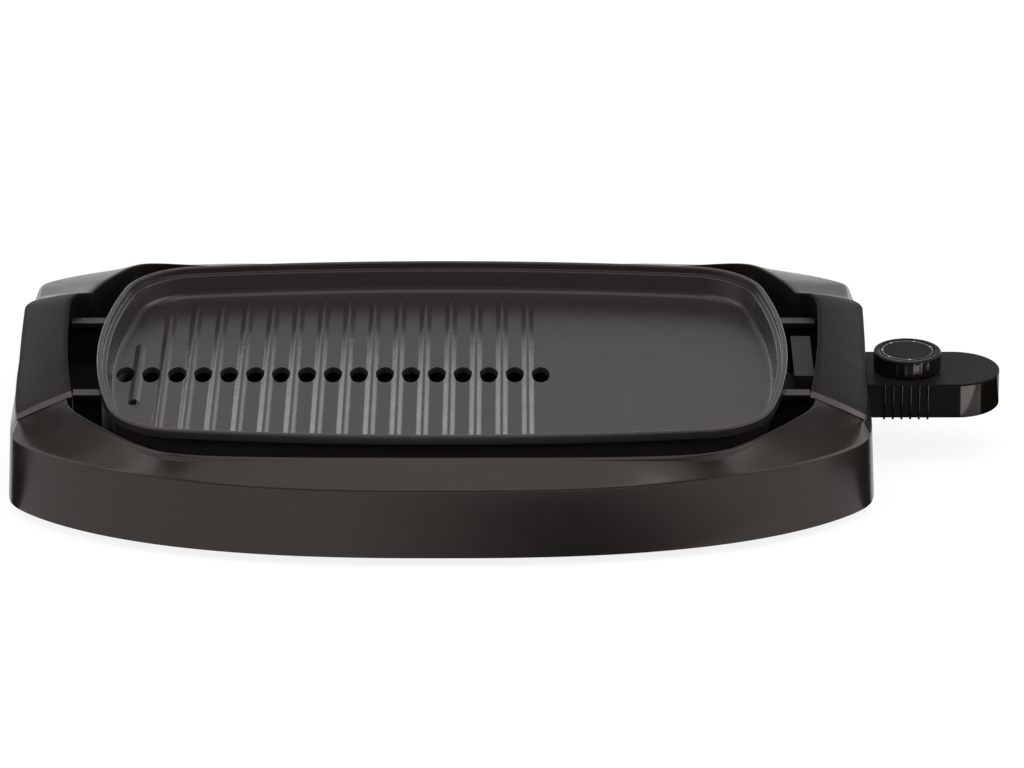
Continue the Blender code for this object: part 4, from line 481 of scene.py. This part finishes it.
# Cooking plate
# Die-cast aluminium with a sprayed dark grey non-stick coating: a pan with a stepped lip, 16 ribs
# with sloped flanks and 17 oval drain slots between them. It drops onto the four rests.
plate_half_x, plate_half_y, plate_shift_y, plate_top = 0.2196, 0.1516, 0.0025, 0.0700
lip_height, lip_width, ledge_drop, ledge_width = 0.0058, 0.0036, 0.0045, 0.0032
lip_round, rim_edge, ledge_round, lip_foot = 0.0009, 0.0012, 0.0008, 0.0005
pan_depth, pan_floor, pan_wall_run = 0.0190, 0.0040, 0.0050
ledge_z, floor_z = plate_top - ledge_drop, plate_top - pan_depth
under_z, floor_inset = floor_z - pan_floor, lip_width + ledge_width + pan_wall_run
end_arc, side_arc, corner_arc = 0.450, 1.350, 0.052
rib_pitch, first_rib_x, rib_count, short_ribs = 0.01655, -0.1939, 16, {0: 0.050, 1: 0.101}
rib_height, rib_half, rib_top_half, rib_end_slope = 0.0021, 0.0041, 0.0004, 0.0035
rib_end_gap, rib_root, rib_softness = 0.0060, 0.0012, 0.4
slot_half_x, slot_half_y, slot_stretch = 0.0055, 0.0130, 0.42
dimple_place, dimple_radius = (first_rib_x - 0.0011, -0.0487, floor_z - 0.0018), 0.0026
guide_near, guide_far, guide_start, guide_end, guide_drop = 0.00325, 0.00505, 0.1489, 0.1989, 0.0062


def plate_plan(inset):
    """Plan of the plate at an inset from its lip: three arcs to each quarter."""
    end = Vector((plate_half_x - end_arc, 0.0))
    side = Vector((0.0, plate_half_y - side_arc))
    to_end, to_side, between = end_arc - corner_arc, side_arc - corner_arc, side - end
    along = (to_end ** 2 - to_side ** 2 + between.length ** 2) / (2 * between.length)
    step = between.normalized()
    corner = end + step * along + Vector((-step.y, step.x)) * (to_end ** 2 - along ** 2) ** 0.5
    first = math.atan2(corner.y - end.y, corner.x - end.x)
    second = math.atan2(corner.y - side.y, corner.x - side.x)
    points = []
    for centre, radius, stretch in ((end, end_arc, (0.0, first, 14)), (corner, corner_arc, (first, second, 26)),
                                    (side, side_arc, (second, math.pi / 2, 26))):
        reach = radius - inset
        points += [(centre.x + reach * math.cos(turn), centre.y + reach * math.sin(turn))
                   for turn in spaced(*stretch)]
    half = points + [(0.0, plate_half_y - inset)] + [(-x, y) for x, y in reversed(points)]
    return [(x, y + plate_shift_y) for x, y in half + [(-x, -y) for x, y in half[1:-1]]]


lip_in, ledge_in, lip_low = lip_width, lip_width + ledge_width, plate_top - lip_height
profile = curve_between((floor_inset + 0.0010, floor_z), (floor_inset - 0.0028, floor_z),
                        (floor_inset - 0.0036, floor_z + 0.0040), 7)
profile += curve_between((ledge_in + 0.00015, ledge_z - 0.0009), (ledge_in, ledge_z),
                         (ledge_in - ledge_round, ledge_z), 3)
profile += curve_between((lip_in + ledge_round, ledge_z), (lip_in, ledge_z), (lip_in, ledge_z + ledge_round), 3)
profile += curve_between((lip_in, plate_top - lip_round), (lip_in, plate_top), (lip_in - lip_round, plate_top), 4)
profile += curve_between((rim_edge, plate_top), (0.0, plate_top), (0.0, plate_top - rim_edge), 5)
profile += curve_between((0.0, lip_low + lip_foot), (0.0, lip_low), (lip_foot, lip_low), 2)
profile += [(lip_in - lip_foot, lip_low), (ledge_in - 0.0028, ledge_z - 0.0028),
            (floor_inset - 0.0064, floor_z), (floor_inset - 0.0047, under_z + 0.0016),
            (floor_inset - 0.0018, under_z)]
rings = [plate_plan(inset) for inset, _ in profile]
shape = skin([[(*rings[row][station], profile[row][1]) for row in range(len(profile))]
              for station in range(len(rings[0]))])
close_holes(shape)
grill_plate = as_piece("grill_plate_casting", shape, 50.0)


def join_on(whole, part):
    """Move a shape's faces over to another shape."""
    mesh = bpy.data.meshes.new("part")
    part.to_mesh(mesh)
    part.free()
    whole.from_mesh(mesh)
    bpy.data.meshes.remove(mesh)


def rib_rise(offset, reach, edge):
    """Height share of a rib at an offset: fillet at the foot, sloped flank, rounded top."""
    share = min(max((reach - abs(offset)) / (reach - edge), -0.15), 1.4)
    if share <= 0:
        return share * 0.25
    return (1.0 - rib_softness) * min(share, 1.0) + rib_softness * smooth_step(share)


ribs = bmesh.new()
side_reach = side_arc - floor_inset
across = [-rib_half + step for step in (-0.0004, 0.0, 0.0003, 0.0007, 0.0012, 0.0017, 0.0022, 0.0027)]
across += [-rib_top_half + step for step in (-0.0006, -0.0002, 0.0002)] + [0.0]
across += [-value for value in reversed(across[:-1])]
for index in range(rib_count):
    x = first_rib_x + index * rib_pitch
    full_half = plate_half_y - side_arc + (side_reach ** 2 - x * x) ** 0.5 - rib_end_gap
    half = short_ribs.get(index, full_half)
    middle = 0.0 if index in short_ribs else plate_shift_y
    along = [-half + step for step in (-0.0004, 0.0, 0.0006, 0.0018)]
    along += [-half + rib_end_slope + step for step in (-0.0006, 0.0, 0.0012)]
    along += [0.0] + [-value for value in reversed(along)]
    sections = []
    for dy in along:
        row = [(x + across[0], middle + dy, floor_z - rib_root)]
        for dx in across:
            rise = min(rib_rise(dx, rib_half, rib_top_half), rib_rise(dy, half, half - rib_end_slope))
            row.append((x + dx, middle + dy, floor_z + rib_height * rise))
        sections.append(row + [(x + across[-1], middle + dy, floor_z - rib_root)])
    rib = skin(sections, closed_turn=False, closed_section=True)
    close_holes(rib)
    join_on(ribs, rib)
cut(grill_plate, ribs, "UNION")

probe_guides = bmesh.new()
for side in (-1, 1):
    low, high = sorted((side * guide_near, side * guide_far))
    block(probe_guides, (guide_start, low, under_z - guide_drop), (guide_end, high, under_z + 0.0020))
cut(grill_plate, probe_guides, "UNION")


def rod(shape, start, axis, length, radius, sides=32):
    """Add a cylinder that starts at a point and runs along an axis."""
    made = bmesh.ops.create_cone(shape, cap_ends=True, segments=sides, radius1=radius, radius2=radius,
                                 depth=length)["verts"]
    turn = Vector((0.0, 0.0, 1.0)).rotation_difference(Vector(axis)).to_matrix().to_4x4()
    middle = Vector(start) + Vector(axis).normalized() * length / 2
    bmesh.ops.transform(shape, matrix=Matrix.Translation(middle) @ turn, verts=made)
    return made


def keep_flat(piece, least_area=0.0001):
    """Shade the large flat faces of a piece flat, right up to the roundings that border them."""
    mesh = piece.data
    shape = bmesh.new()
    shape.from_mesh(mesh)
    for edge in shape.edges:
        if len(edge.link_faces) == 2 and max(face.calc_area() for face in edge.link_faces) > least_area:
            if edge.calc_face_angle(0.0) > math.radians(3.0):
                edge.smooth = False
    shape.to_mesh(mesh)
    shape.free()
    even = piece.modifiers.new("even_shading", "WEIGHTED_NORMAL")
    even.keep_sharp = True
    even.weight = 100
    graph = bpy.context.evaluated_depsgraph_get()
    piece.data = bpy.data.meshes.new_from_object(piece.evaluated_get(graph))
    piece.data.name = piece.name
    piece.modifiers.clear()
    bpy.data.meshes.remove(mesh)


slots = bmesh.new()
slot_rise = [(1.0, under_z - 0.002), (1.0, floor_z - 0.0005), (1.02, floor_z - 0.0001), (1.06, floor_z + 0.0003),
             (1.07, floor_z + 0.0042)]
for index in range(rib_count + 1):
    x = first_rib_x + (index - 0.5) * rib_pitch
    tool = skin([[(x + slot_half_x * grow * math.cos(turn),
                   slot_half_y * (1.0 + (grow - 1.0) * slot_stretch) * math.sin(turn), z) for grow, z in slot_rise]
                 for turn in spaced(0.0, 2 * math.pi, 48)])
    close_holes(tool)
    join_on(slots, tool)
rod(slots, dimple_place, (0, 0, 1), 0.0080, dimple_radius)
cut(grill_plate, slots, sharp=32.0)
keep_flat(grill_plate, least_area=0.001)


def coating(name, colour, roughness):
    """Sprayed non-stick coating: fine speckle, a slight orange peel and cloudy polish."""
    material = moulded(name, colour, roughness, 0.45, 700.0, 0.00001, 0.05)
    tree = material.node_tree
    shader = tree.nodes["Principled BSDF"]
    cloudy = shader.inputs["Base Color"].links[0].from_socket
    speckle = tree.nodes.new("ShaderNodeMix")
    speckle.data_type = "RGBA"
    speckle.blend_type = "MULTIPLY"
    speckle.inputs[0].default_value = 1.0
    tree.links.new(cloudy, speckle.inputs[6])
    tree.links.new(noise_between(tree, 2600.0, 1.0, 0.86, 1.14), speckle.inputs[7])
    tree.links.new(speckle.outputs[2], shader.inputs["Base Color"])
    return material


plate_coating = coating("non_stick_coating", (0.028, 0.0240, 0.0240), 0.28)
finish(grill_plate, plate_coating)
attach(grill_plate, "plate")
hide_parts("grill_plate")

# Heating element, clips, terminals and brackets
# A stainless sheath tube is bent round the slots and clipped under the plate. Its cold pins leave
# through steatite beads held in steel brackets.
sheath_steel = metal("sheath_steel", (0.30, 0.29, 0.28), 0.36, 0.10)
finish(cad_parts["heating_element"], sheath_steel)
for name in ("element_clip_front_outer", "element_clip_front_inner", "element_clip_rear_inner",
             "element_clip_rear_outer", "terminal_bracket_front", "terminal_bracket_rear"):
    finish(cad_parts[name], sheet_steel)
ceramic = moulded("terminal_ceramic", (0.74, 0.71, 0.64), 0.55, 0.45, 1500.0, 0.00003, 0.04)
pin_brass = metal("nickelled_brass", (0.62, 0.55, 0.40), 0.26, 0.07)
for side in ("front", "rear"):
    finish(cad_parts[f"ceramic_bead_{side}"], ceramic)
    finish(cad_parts[f"terminal_pin_{side}"], pin_brass)

# Grease drawer
# A matt tray slides on two rails under the slots. Its front is moulded in the colour of the shell
# and lies flush in the left end of the skirt.
finish(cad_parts["grease_drawer"], dark_plastic)
finish(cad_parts["drawer_front"], shell_plastic)

# Thermostat housing
# Two polished black shells with textured flats meet at half height, with six grip lines moulded on
# each long side, a round outer end and a raised mark beside the dial. The lower one carries the
# plug's nose, and the cable gland sits in the rear side.
housing_inner, housing_round_x, housing_half, housing_corner = 0.2489, 0.3261, 0.02885, 0.0020
housing_foot, housing_top, housing_split, parting = 0.0330, 0.0556, 0.0443, 0.00001
shell_wall, shell_round = 0.0022, 0.0010
dial_x = 0.2960
nose_hole = ((housing_inner - 0.002, -0.0228, 0.0363), (0.2552, 0.0228, 0.0465))
gland_hole = ((0.3162, housing_half - 0.006, housing_split), (0, 1, 0), 0.013, 0.0048)
spindle_hole = ((dial_x, 0.0, housing_split + 0.004), (0, 0, 1), 0.020, 0.0035)
mark_turn, mark_start, mark_end, mark_half = math.radians(-32.0), 0.0228, 0.0256, 0.0003
mark_root, mark_rise = 0.0006, 0.0003
line_middle, line_pitch, line_half, line_round = dial_x - 0.0019, 0.0055, 0.0007, 0.0006
line_rise, line_root, line_past = 0.0009, 0.0018, {1: 0.0003, -1: 0.0009}
gloss_plastic = moulded("polished_black_plastic", (0.0048, 0.0044, 0.0026), 0.08, 0.06, 260.0, 0.000001, 0.05)
textured_plastic = moulded("textured_black_plastic", (0.0105, 0.0090, 0.0068), 0.42, 0.08, 1500.0, 0.00002, 0.05)


def arc(centre, radius, start, stop, steps):
    """Points of a rounding in section, from one direction to another in degrees."""
    points = []
    for index in range(steps + 1):
        turn = math.radians(start + (stop - start) * index / steps)
        points.append((centre[0] + radius * math.cos(turn), centre[1] + radius * math.sin(turn)))
    return points


def housing_plan():
    """Plan of the housing: square inner end, round outer end."""
    points = []
    for centre_y, start in ((housing_half - housing_corner, 90.0), (-housing_half + housing_corner, 180.0)):
        points += arc((housing_inner + housing_corner, centre_y), housing_corner, start, start + 90.0, 6)
    return points + arc((housing_round_x, 0.0), housing_half, -90.0, 90.0, 72)


plan = housing_plan()


def inset_plan(inset):
    """The plan drawn in by an even distance."""
    drawn = []
    for before, point, after in zip([plan[-1]] + plan[:-1], plan, plan[1:] + plan[:1]):
        line = Vector(after) - Vector(before)
        drawn.append(Vector(point) + Vector((-line.y, line.x)).normalized() * inset)
    return drawn


for name, edge_z, split_z in (("thermostat_upper_shell", housing_top, housing_split + parting),
                              ("thermostat_lower_shell", housing_foot, housing_split - parting)):
    way = 1 if edge_z > split_z else -1
    rows = [(shell_wall, split_z), (0.0, split_z)]
    rows += curve_between((0.0, edge_z - way * shell_round), (0.0, edge_z), (shell_round, edge_z), 5)
    outlines = [inset_plan(inset) for inset, _ in rows]
    shape = skin([[(*outlines[row][station], rows[row][1]) for row in range(len(rows))]
                  for station in range(len(plan))])
    rim = [edge for edge in shape.edges if edge.is_boundary and abs(edge.verts[0].co.z - edge_z) < 0.00001]
    bmesh.ops.holes_fill(shape, edges=rim)
    roof_z = edge_z - way * shell_wall
    inside = skin([[(x, y, split_z), (x, y, roof_z)] for x, y in inset_plan(shell_wall)])
    rim = [edge for edge in inside.edges if edge.is_boundary and abs(edge.verts[0].co.z - roof_z) < 0.00001]
    bmesh.ops.holes_fill(inside, edges=rim)
    join_on(shape, inside)
    bmesh.ops.remove_doubles(shape, verts=shape.verts, dist=0.000001)
    housing = as_piece(name + "_moulding", shape, 40.0)
    holes = bmesh.new()
    block(holes, *nose_hole)
    cut(housing, holes, sharp=40.0)
    holes = bmesh.new()
    rod(holes, *gland_hole)
    rod(holes, *spindle_hole)
    cut(housing, holes, sharp=40.0)
    lines = bmesh.new()
    if way > 0:
        mark = block(lines, (mark_start, -mark_half, housing_top - mark_root),
                     (mark_end, mark_half, housing_top + mark_rise))
        bmesh.ops.rotate(lines, cent=(0, 0, 0), matrix=Matrix.Rotation(mark_turn, 3, "Z"), verts=mark)
        bmesh.ops.translate(lines, vec=(dial_x, 0.0, 0.0), verts=mark)
    for side in (-1, 1):
        for index in range(6):
            x = line_middle + (index - 2.5) * line_pitch
            low_y, high_y = sorted((side * (housing_half + line_rise), side * (housing_half - line_root)))
            low_z, high_z = sorted((split_z, edge_z + way * line_past[way]))
            block(lines, (x - line_half, low_y, low_z), (x + line_half, high_y, high_z))
    line_edges = [edge for edge in lines.edges
                  if not all(abs(vert.co.z - split_z) < 0.00001 for vert in edge.verts) and
                  min(abs(vert.co.y) for vert in edge.verts) > housing_half - 0.0020]
    bmesh.ops.bevel(lines, geom=line_edges, offset=line_round, offset_type="OFFSET", segments=3, profile=0.5,
                    affect="EDGES", material=-1, clamp_overlap=True)
    cut(housing, lines, "UNION", sharp=40.0)
    keep_flat(housing)
    finish(housing, gloss_plastic)
    housing.data.materials.append(textured_plastic)
    for face in housing.data.polygons:
        if abs(face.normal.z) > 0.9 and abs(face.center.z - edge_z) < 0.0008:
            face.material_index = 1
    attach(housing, "thermostat")
    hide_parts(name)

# Plug nose, contacts, probe, switch and gland
# The matt nose carries two open sockets with sprung brass contacts, and the steel probe runs through
# it to the plate. The switch sits on a steatite block, and the gland holds the cable.
finish(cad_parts["plug_nose"], dark_plastic)
for name in ("socket_contact_front", "socket_contact_rear", "contact_leaf"):
    finish(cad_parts[name], pin_brass)
finish(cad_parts["probe_rod"], sheath_steel)
finish(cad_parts["switch_block"], ceramic)
finish(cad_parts["cable_gland"], foot_rubber)

# Dial
# A fluted knob of satin black plastic turns on a steel spindle. A thin disc with a printed ring and
# six dots is let into its top.
dial_foot, dial_top, dial_radius, face_radius = 0.0562, 0.0678, 0.02145, 0.0172
dial_bore, bore_depth, foot_chamfer, top_round = 0.0033, 0.0070, 0.0004, 0.0009
flute_count, flute_chord, flute_depth, knob_stations = 24, 0.0120, 0.00045, 384


def knob_radius(turn, depth_share):
    """Radius of the knob's side: 24 shallow flutes that run out under the rounded top edge."""
    pitch = 2 * math.pi / flute_count
    off = (turn + pitch / 2) % pitch - pitch / 2
    reach = dial_radius + flute_chord - flute_depth
    chord = flute_chord ** 2 - (reach * math.sin(off)) ** 2
    fluted = reach * math.cos(off) - chord ** 0.5 if chord > 0 else dial_radius
    return dial_radius - (dial_radius - min(fluted, dial_radius)) * depth_share


sections = []
for turn in spaced(0.0, 2 * math.pi, knob_stations):
    side = knob_radius(turn, 1.0)
    rows = [(dial_bore, dial_foot + bore_depth), (dial_bore, dial_foot), (side - foot_chamfer, dial_foot),
            (side, dial_foot + foot_chamfer), (side, dial_top - 0.0022),
            (knob_radius(turn, 0.7), dial_top - 0.0016), (knob_radius(turn, 0.2), dial_top - 0.0011)]
    rows += arc((dial_radius - top_round, dial_top - top_round), top_round, 0.0, 90.0, 6)
    rows += [(face_radius + 0.0008, dial_top), (face_radius + 0.0004, dial_top - 0.0002),
             (face_radius + 0.0003, dial_top - 0.0006)]
    sections.append([(dial_x + radius * math.cos(turn), radius * math.sin(turn), z) for radius, z in rows])
shape = skin(sections)
close_holes(shape)
dial_knob = as_piece("dial_knob_moulding", shape, 30.0)
dial_plastic = moulded("dial_plastic", (0.0064, 0.0058, 0.0038), 0.24, 0.12, 900.0, 0.000004)
finish(dial_knob, dial_plastic)
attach(dial_knob, "dial")
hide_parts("dial_knob")

face_plastic = moulded("dial_face_plastic", (0.0100, 0.0086, 0.0062), 0.42, 0.06)
finish(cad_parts["dial_face"], face_plastic)
finish(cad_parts["dial_spindle"], screw_steel)

ring_radius, ring_half, print_rise, dot_radius = 0.0160, 0.00012, 0.00002, 0.00075
ring_strokes = [(0, 285)] + [(289 + 9 * index, 294 + 9 * index) for index in range(8)]
dot_turns = (22, 72, 128, 177, 222, 272)


def on_dial(degrees, radius, rise):
    """A point over the dial's face."""
    x, y, z = around(math.radians(degrees), radius, dial_top + rise)
    return dial_x + x, y, z


print_shape = bmesh.new()
for start, stop in ring_strokes:
    steps = max(2, round((stop - start) / 2.5))
    stroke = skin([[on_dial(degrees, ring_radius + side * ring_half, print_rise) for side in (-1, 1)]
                   for degrees in spaced(start, stop, steps) + [stop]], closed_turn=False)
    join_on(print_shape, stroke)
for degrees in dot_turns:
    place = on_dial(degrees, ring_radius, print_rise * 1.5)
    bmesh.ops.create_circle(print_shape, cap_ends=True, radius=dot_radius, segments=24,
                            matrix=Matrix.Translation(place))
for face in print_shape.faces:
    if face.normal.z < 0:
        face.normal_flip()
dial_print = as_piece("dial_print", print_shape, outwards=False)
finish(dial_print, moulded("dial_print_ink", (0.60, 0.59, 0.57), 0.50, 0.30))
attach(dial_print, "dial")

# Studio
# A pale round sweep: a floor that rises into a low wall, white behind the grill and in its shine,
# with the shadow kept. Large soft boxes hang above, at the sides and behind. Flat cards on the floor
# show only in the shine: black ones and a graded one paint dark reflections on the skirt and the
# thermostat, and a glowing one paints the highlight on the housing's round end and the dial.
floor_radius, bend_radius, wall_top = 6.0, 0.8, 1.20
paper_white, shown_white, paper_glow, world_grey = 0.80, 0.20, 0.86, 0.15
sweep = bmesh.new()
outline = [(0.0, 0.0), (1.0, 0.0), (3.0, 0.0)] + arc((floor_radius, bend_radius), bend_radius, -90.0, 0.0, 6)
outline.append((floor_radius + bend_radius, wall_top))
points = [sweep.verts.new((radius, 0.0, z)) for radius, z in outline]
strip = [sweep.edges.new(pair) for pair in zip(points, points[1:])]
bmesh.ops.spin(sweep, geom=points + strip, cent=(0, 0, 0), axis=(0, 0, 1), angle=2 * math.pi, steps=96,
               use_merge=True)
bmesh.ops.remove_doubles(sweep, verts=sweep.verts, dist=0.00001)
bmesh.ops.recalc_face_normals(sweep, faces=sweep.faces)
mesh = bpy.data.meshes.new("studio_sweep")
sweep.to_mesh(mesh)
sweep.free()
mesh.shade_smooth()
floor = bpy.data.objects.new("studio_sweep", mesh)
bpy.context.scene.collection.objects.link(floor)
paper = bpy.data.materials.new("white_paper")
paper.use_nodes = True
tree = paper.node_tree
tree.nodes.clear()
out = tree.nodes.new("ShaderNodeOutputMaterial")
rays = tree.nodes.new("ShaderNodeLightPath")
seen = tree.nodes.new("ShaderNodeMath")
seen.operation = "MAXIMUM"
seen_too = tree.nodes.new("ShaderNodeMath")
seen_too.operation = "MAXIMUM"
plain = tree.nodes.new("ShaderNodeBsdfDiffuse")
plain.inputs["Color"].default_value = (paper_white, paper_white, paper_white, 1.0)
shown = tree.nodes.new("ShaderNodeBsdfDiffuse")
shown.inputs["Color"].default_value = (shown_white, shown_white, shown_white, 1.0)
glow = tree.nodes.new("ShaderNodeEmission")
glow.inputs["Strength"].default_value = paper_glow
both = tree.nodes.new("ShaderNodeAddShader")
choose = tree.nodes.new("ShaderNodeMixShader")
tree.links.new(rays.outputs["Is Camera Ray"], seen.inputs[0])
tree.links.new(rays.outputs["Is Glossy Ray"], seen.inputs[1])
tree.links.new(seen.outputs[0], seen_too.inputs[0])
tree.links.new(rays.outputs["Is Transmission Ray"], seen_too.inputs[1])
tree.links.new(shown.outputs[0], both.inputs[0])
tree.links.new(glow.outputs[0], both.inputs[1])
tree.links.new(seen_too.outputs[0], choose.inputs[0])
tree.links.new(plain.outputs[0], choose.inputs[1])
tree.links.new(both.outputs[0], choose.inputs[2])
tree.links.new(choose.outputs[0], out.inputs["Surface"])
mesh.materials.append(paper)

world = bpy.context.scene.world or bpy.data.worlds.new("studio")
bpy.context.scene.world = world
world.use_nodes = True
background = world.node_tree.nodes["Background"]
background.inputs["Color"].default_value = (world_grey, world_grey, world_grey, 1.0)
background.inputs["Strength"].default_value = 1.0

target, box_height = Vector((0.003025, 0.0005, 0.0446)), 2.30


def soft_box(name, place, aim, width, height, radiance):
    """An area lamp given by the brightness of its face."""
    lamp = bpy.data.lights.new(name, "AREA")
    lamp.shape = "RECTANGLE"
    lamp.size = width
    lamp.size_y = height
    lamp.energy = radiance * width * height * math.pi
    box = bpy.data.objects.new(name, lamp)
    bpy.context.scene.collection.objects.link(box)
    box.location = place
    box.rotation_euler = (Vector(aim) - Vector(place)).to_track_quat("-Z", "Y").to_euler()
    box.visible_camera = False


soft_box("top_box", (0.0, -0.65, box_height), (0.0, -0.65, 0.0), 2.7, 3.6, 1.10)
soft_box("left_wing_box", (-1.90, -1.25, box_height), (-1.90, -1.25, 0.0), 1.1, 2.4, 1.10)
soft_box("right_wing_box", (1.90, -1.25, box_height), (1.90, -1.25, 0.0), 1.1, 2.4, 0.80)
soft_box("left_box", (-2.4, 0.0, 1.0), target, 2.4, 1.6, 1.6)
soft_box("right_box", (2.4, 0.0, 1.0), target, 2.4, 1.6, 2.2)
soft_box("front_left_box", (-1.9, -1.5, 1.2), target, 0.8, 0.8, 2.5)
soft_box("front_right_box", (1.9, -1.5, 1.2), target, 0.8, 0.8, 2.0)
soft_box("front_top_box", (0.78, -0.68, 2.2), target, 0.6, 0.6, 2.4)
soft_box("rear_box", (0.0, 3.0, 1.36), target, 6.0, 1.6, 0.38)
soft_box("rear_left_box", (-1.21, 2.71, 0.46), target, 1.0, 0.55, 1.8)
soft_box("rear_right_box", (1.21, 2.71, 0.46), target, 1.0, 0.55, 1.8)


def shine_card(name, outlines, brightness):
    """A card flat on the floor that only shows in the grill's shine: a painted highlight when it glows, a painted
    dark reflection when it is black.
    """
    shape = bmesh.new()
    for outline in outlines:
        shape.faces.new([shape.verts.new((x, y, 0.001)) for x, y in outline])
    mesh = bpy.data.meshes.new(name)
    shape.to_mesh(mesh)
    shape.free()
    material = bpy.data.materials.new(name)
    material.use_nodes = True
    tree = material.node_tree
    tree.nodes.clear()
    lit = tree.nodes.new("ShaderNodeEmission")
    lit.inputs["Color"].default_value = (1.0, 1.0, 1.0, 1.0)
    lit.inputs["Strength"].default_value = brightness
    end = tree.nodes.new("ShaderNodeOutputMaterial")
    tree.links.new(lit.outputs[0], end.inputs["Surface"])
    mesh.materials.append(material)
    card = bpy.data.objects.new(name, mesh)
    bpy.context.scene.collection.objects.link(card)
    for use in ("camera", "diffuse", "transmission", "volume_scatter", "shadow"):
        setattr(card, "visible_" + use, False)
    return card


# Black cards seen only in the shine paint dark reflections on the thermostat's round end and on the skirt's front
# corners.
dark_outlines = [[(0.318, -0.030), (0.44, -0.060), (0.50, 0.10), (0.33, 0.08)]]
wedge_x, wedge_y, wedge_length, wedge_turns = 0.2660, -0.1075, 0.22, (90.0, 118.0, 145.0)
for side in (-1, 1):
    corner = Vector((grill_x + side * wedge_x, wedge_y))
    ways = [Vector((side * math.sin(math.radians(turn)), -math.cos(math.radians(turn)))) for turn in wedge_turns]
    dark_outlines.append([corner] + [corner + wedge_length * way for way in ways])
shine_card("shade_cards", dark_outlines, 0.0)
# A glowing card seen only in the shine paints the upright highlight on the housing's round end and on the dial.
housing_highlight_card = shine_card("housing_highlight_card", [[(0.3087, -0.107), (0.3225, -0.175), (0.40, -0.155), (0.445, -0.080),
                                            (0.3600, -0.0450)]], 24.0)
# A graded card in front, seen only in the shine, is dimmest at dark_x: a painted dark patch in the skirt's shine
# right of its middle.
front_shade_card = shine_card("front_shade_card", [[(-0.15, -0.40), (0.25, -0.40), (0.25, -0.19), (-0.15, -0.19)]], 1.0)
dark_x, fade_width, card_dark, card_light = 0.055, 0.19, 0.12, 1.02
tree = front_shade_card.data.materials[0].node_tree
spot = tree.nodes.new("ShaderNodeTexCoord")
split = tree.nodes.new("ShaderNodeSeparateXYZ")
off_middle = tree.nodes.new("ShaderNodeMath")
off_middle.operation = "SUBTRACT"
off_middle.inputs[1].default_value = dark_x
distance = tree.nodes.new("ShaderNodeMath")
distance.operation = "ABSOLUTE"
fade = tree.nodes.new("ShaderNodeMapRange")
fade.interpolation_type = "SMOOTHSTEP"
fade.inputs["From Max"].default_value = fade_width
fade.inputs["To Min"].default_value = card_dark
fade.inputs["To Max"].default_value = card_light
tree.links.new(spot.outputs["Object"], split.inputs[0])
tree.links.new(split.outputs["X"], off_middle.inputs[0])
tree.links.new(off_middle.outputs[0], distance.inputs[0])
tree.links.new(distance.outputs[0], fade.inputs["Value"])
tree.links.new(fade.outputs["Result"], tree.nodes["Emission"].inputs["Color"])
# Only the housing shells and the dial knob receive the highlight card's light.
lit_by_card = bpy.data.collections.new("lit_by_card")
for name in ("thermostat_upper_shell_moulding", "thermostat_lower_shell_moulding", "dial_knob_moulding"):
    lit_by_card.objects.link(bpy.data.objects[name])
housing_highlight_card.light_linking.receiver_collection = lit_by_card

# Camera
# A long lens stands square in front of the grill and looks down on it, so that the plate's floor and
# the front of the skirt both show.
tilt, camera_distance = math.radians(22.0), 4.2
camera_data = bpy.data.cameras.new("camera")
camera_data.lens = 231.5
camera_data.sensor_width = 36.0
camera_data.clip_end = 50.0
camera = bpy.data.objects.new("camera", camera_data)
bpy.context.scene.collection.objects.link(camera)
camera.location = target + camera_distance * Vector((0.0, -math.cos(tilt), math.sin(tilt)))
camera.rotation_euler = (math.pi / 2 - tilt, 0.0, 0.0)
bpy.context.scene.camera = camera
bpy.context.scene.view_settings.view_transform = "Standard"
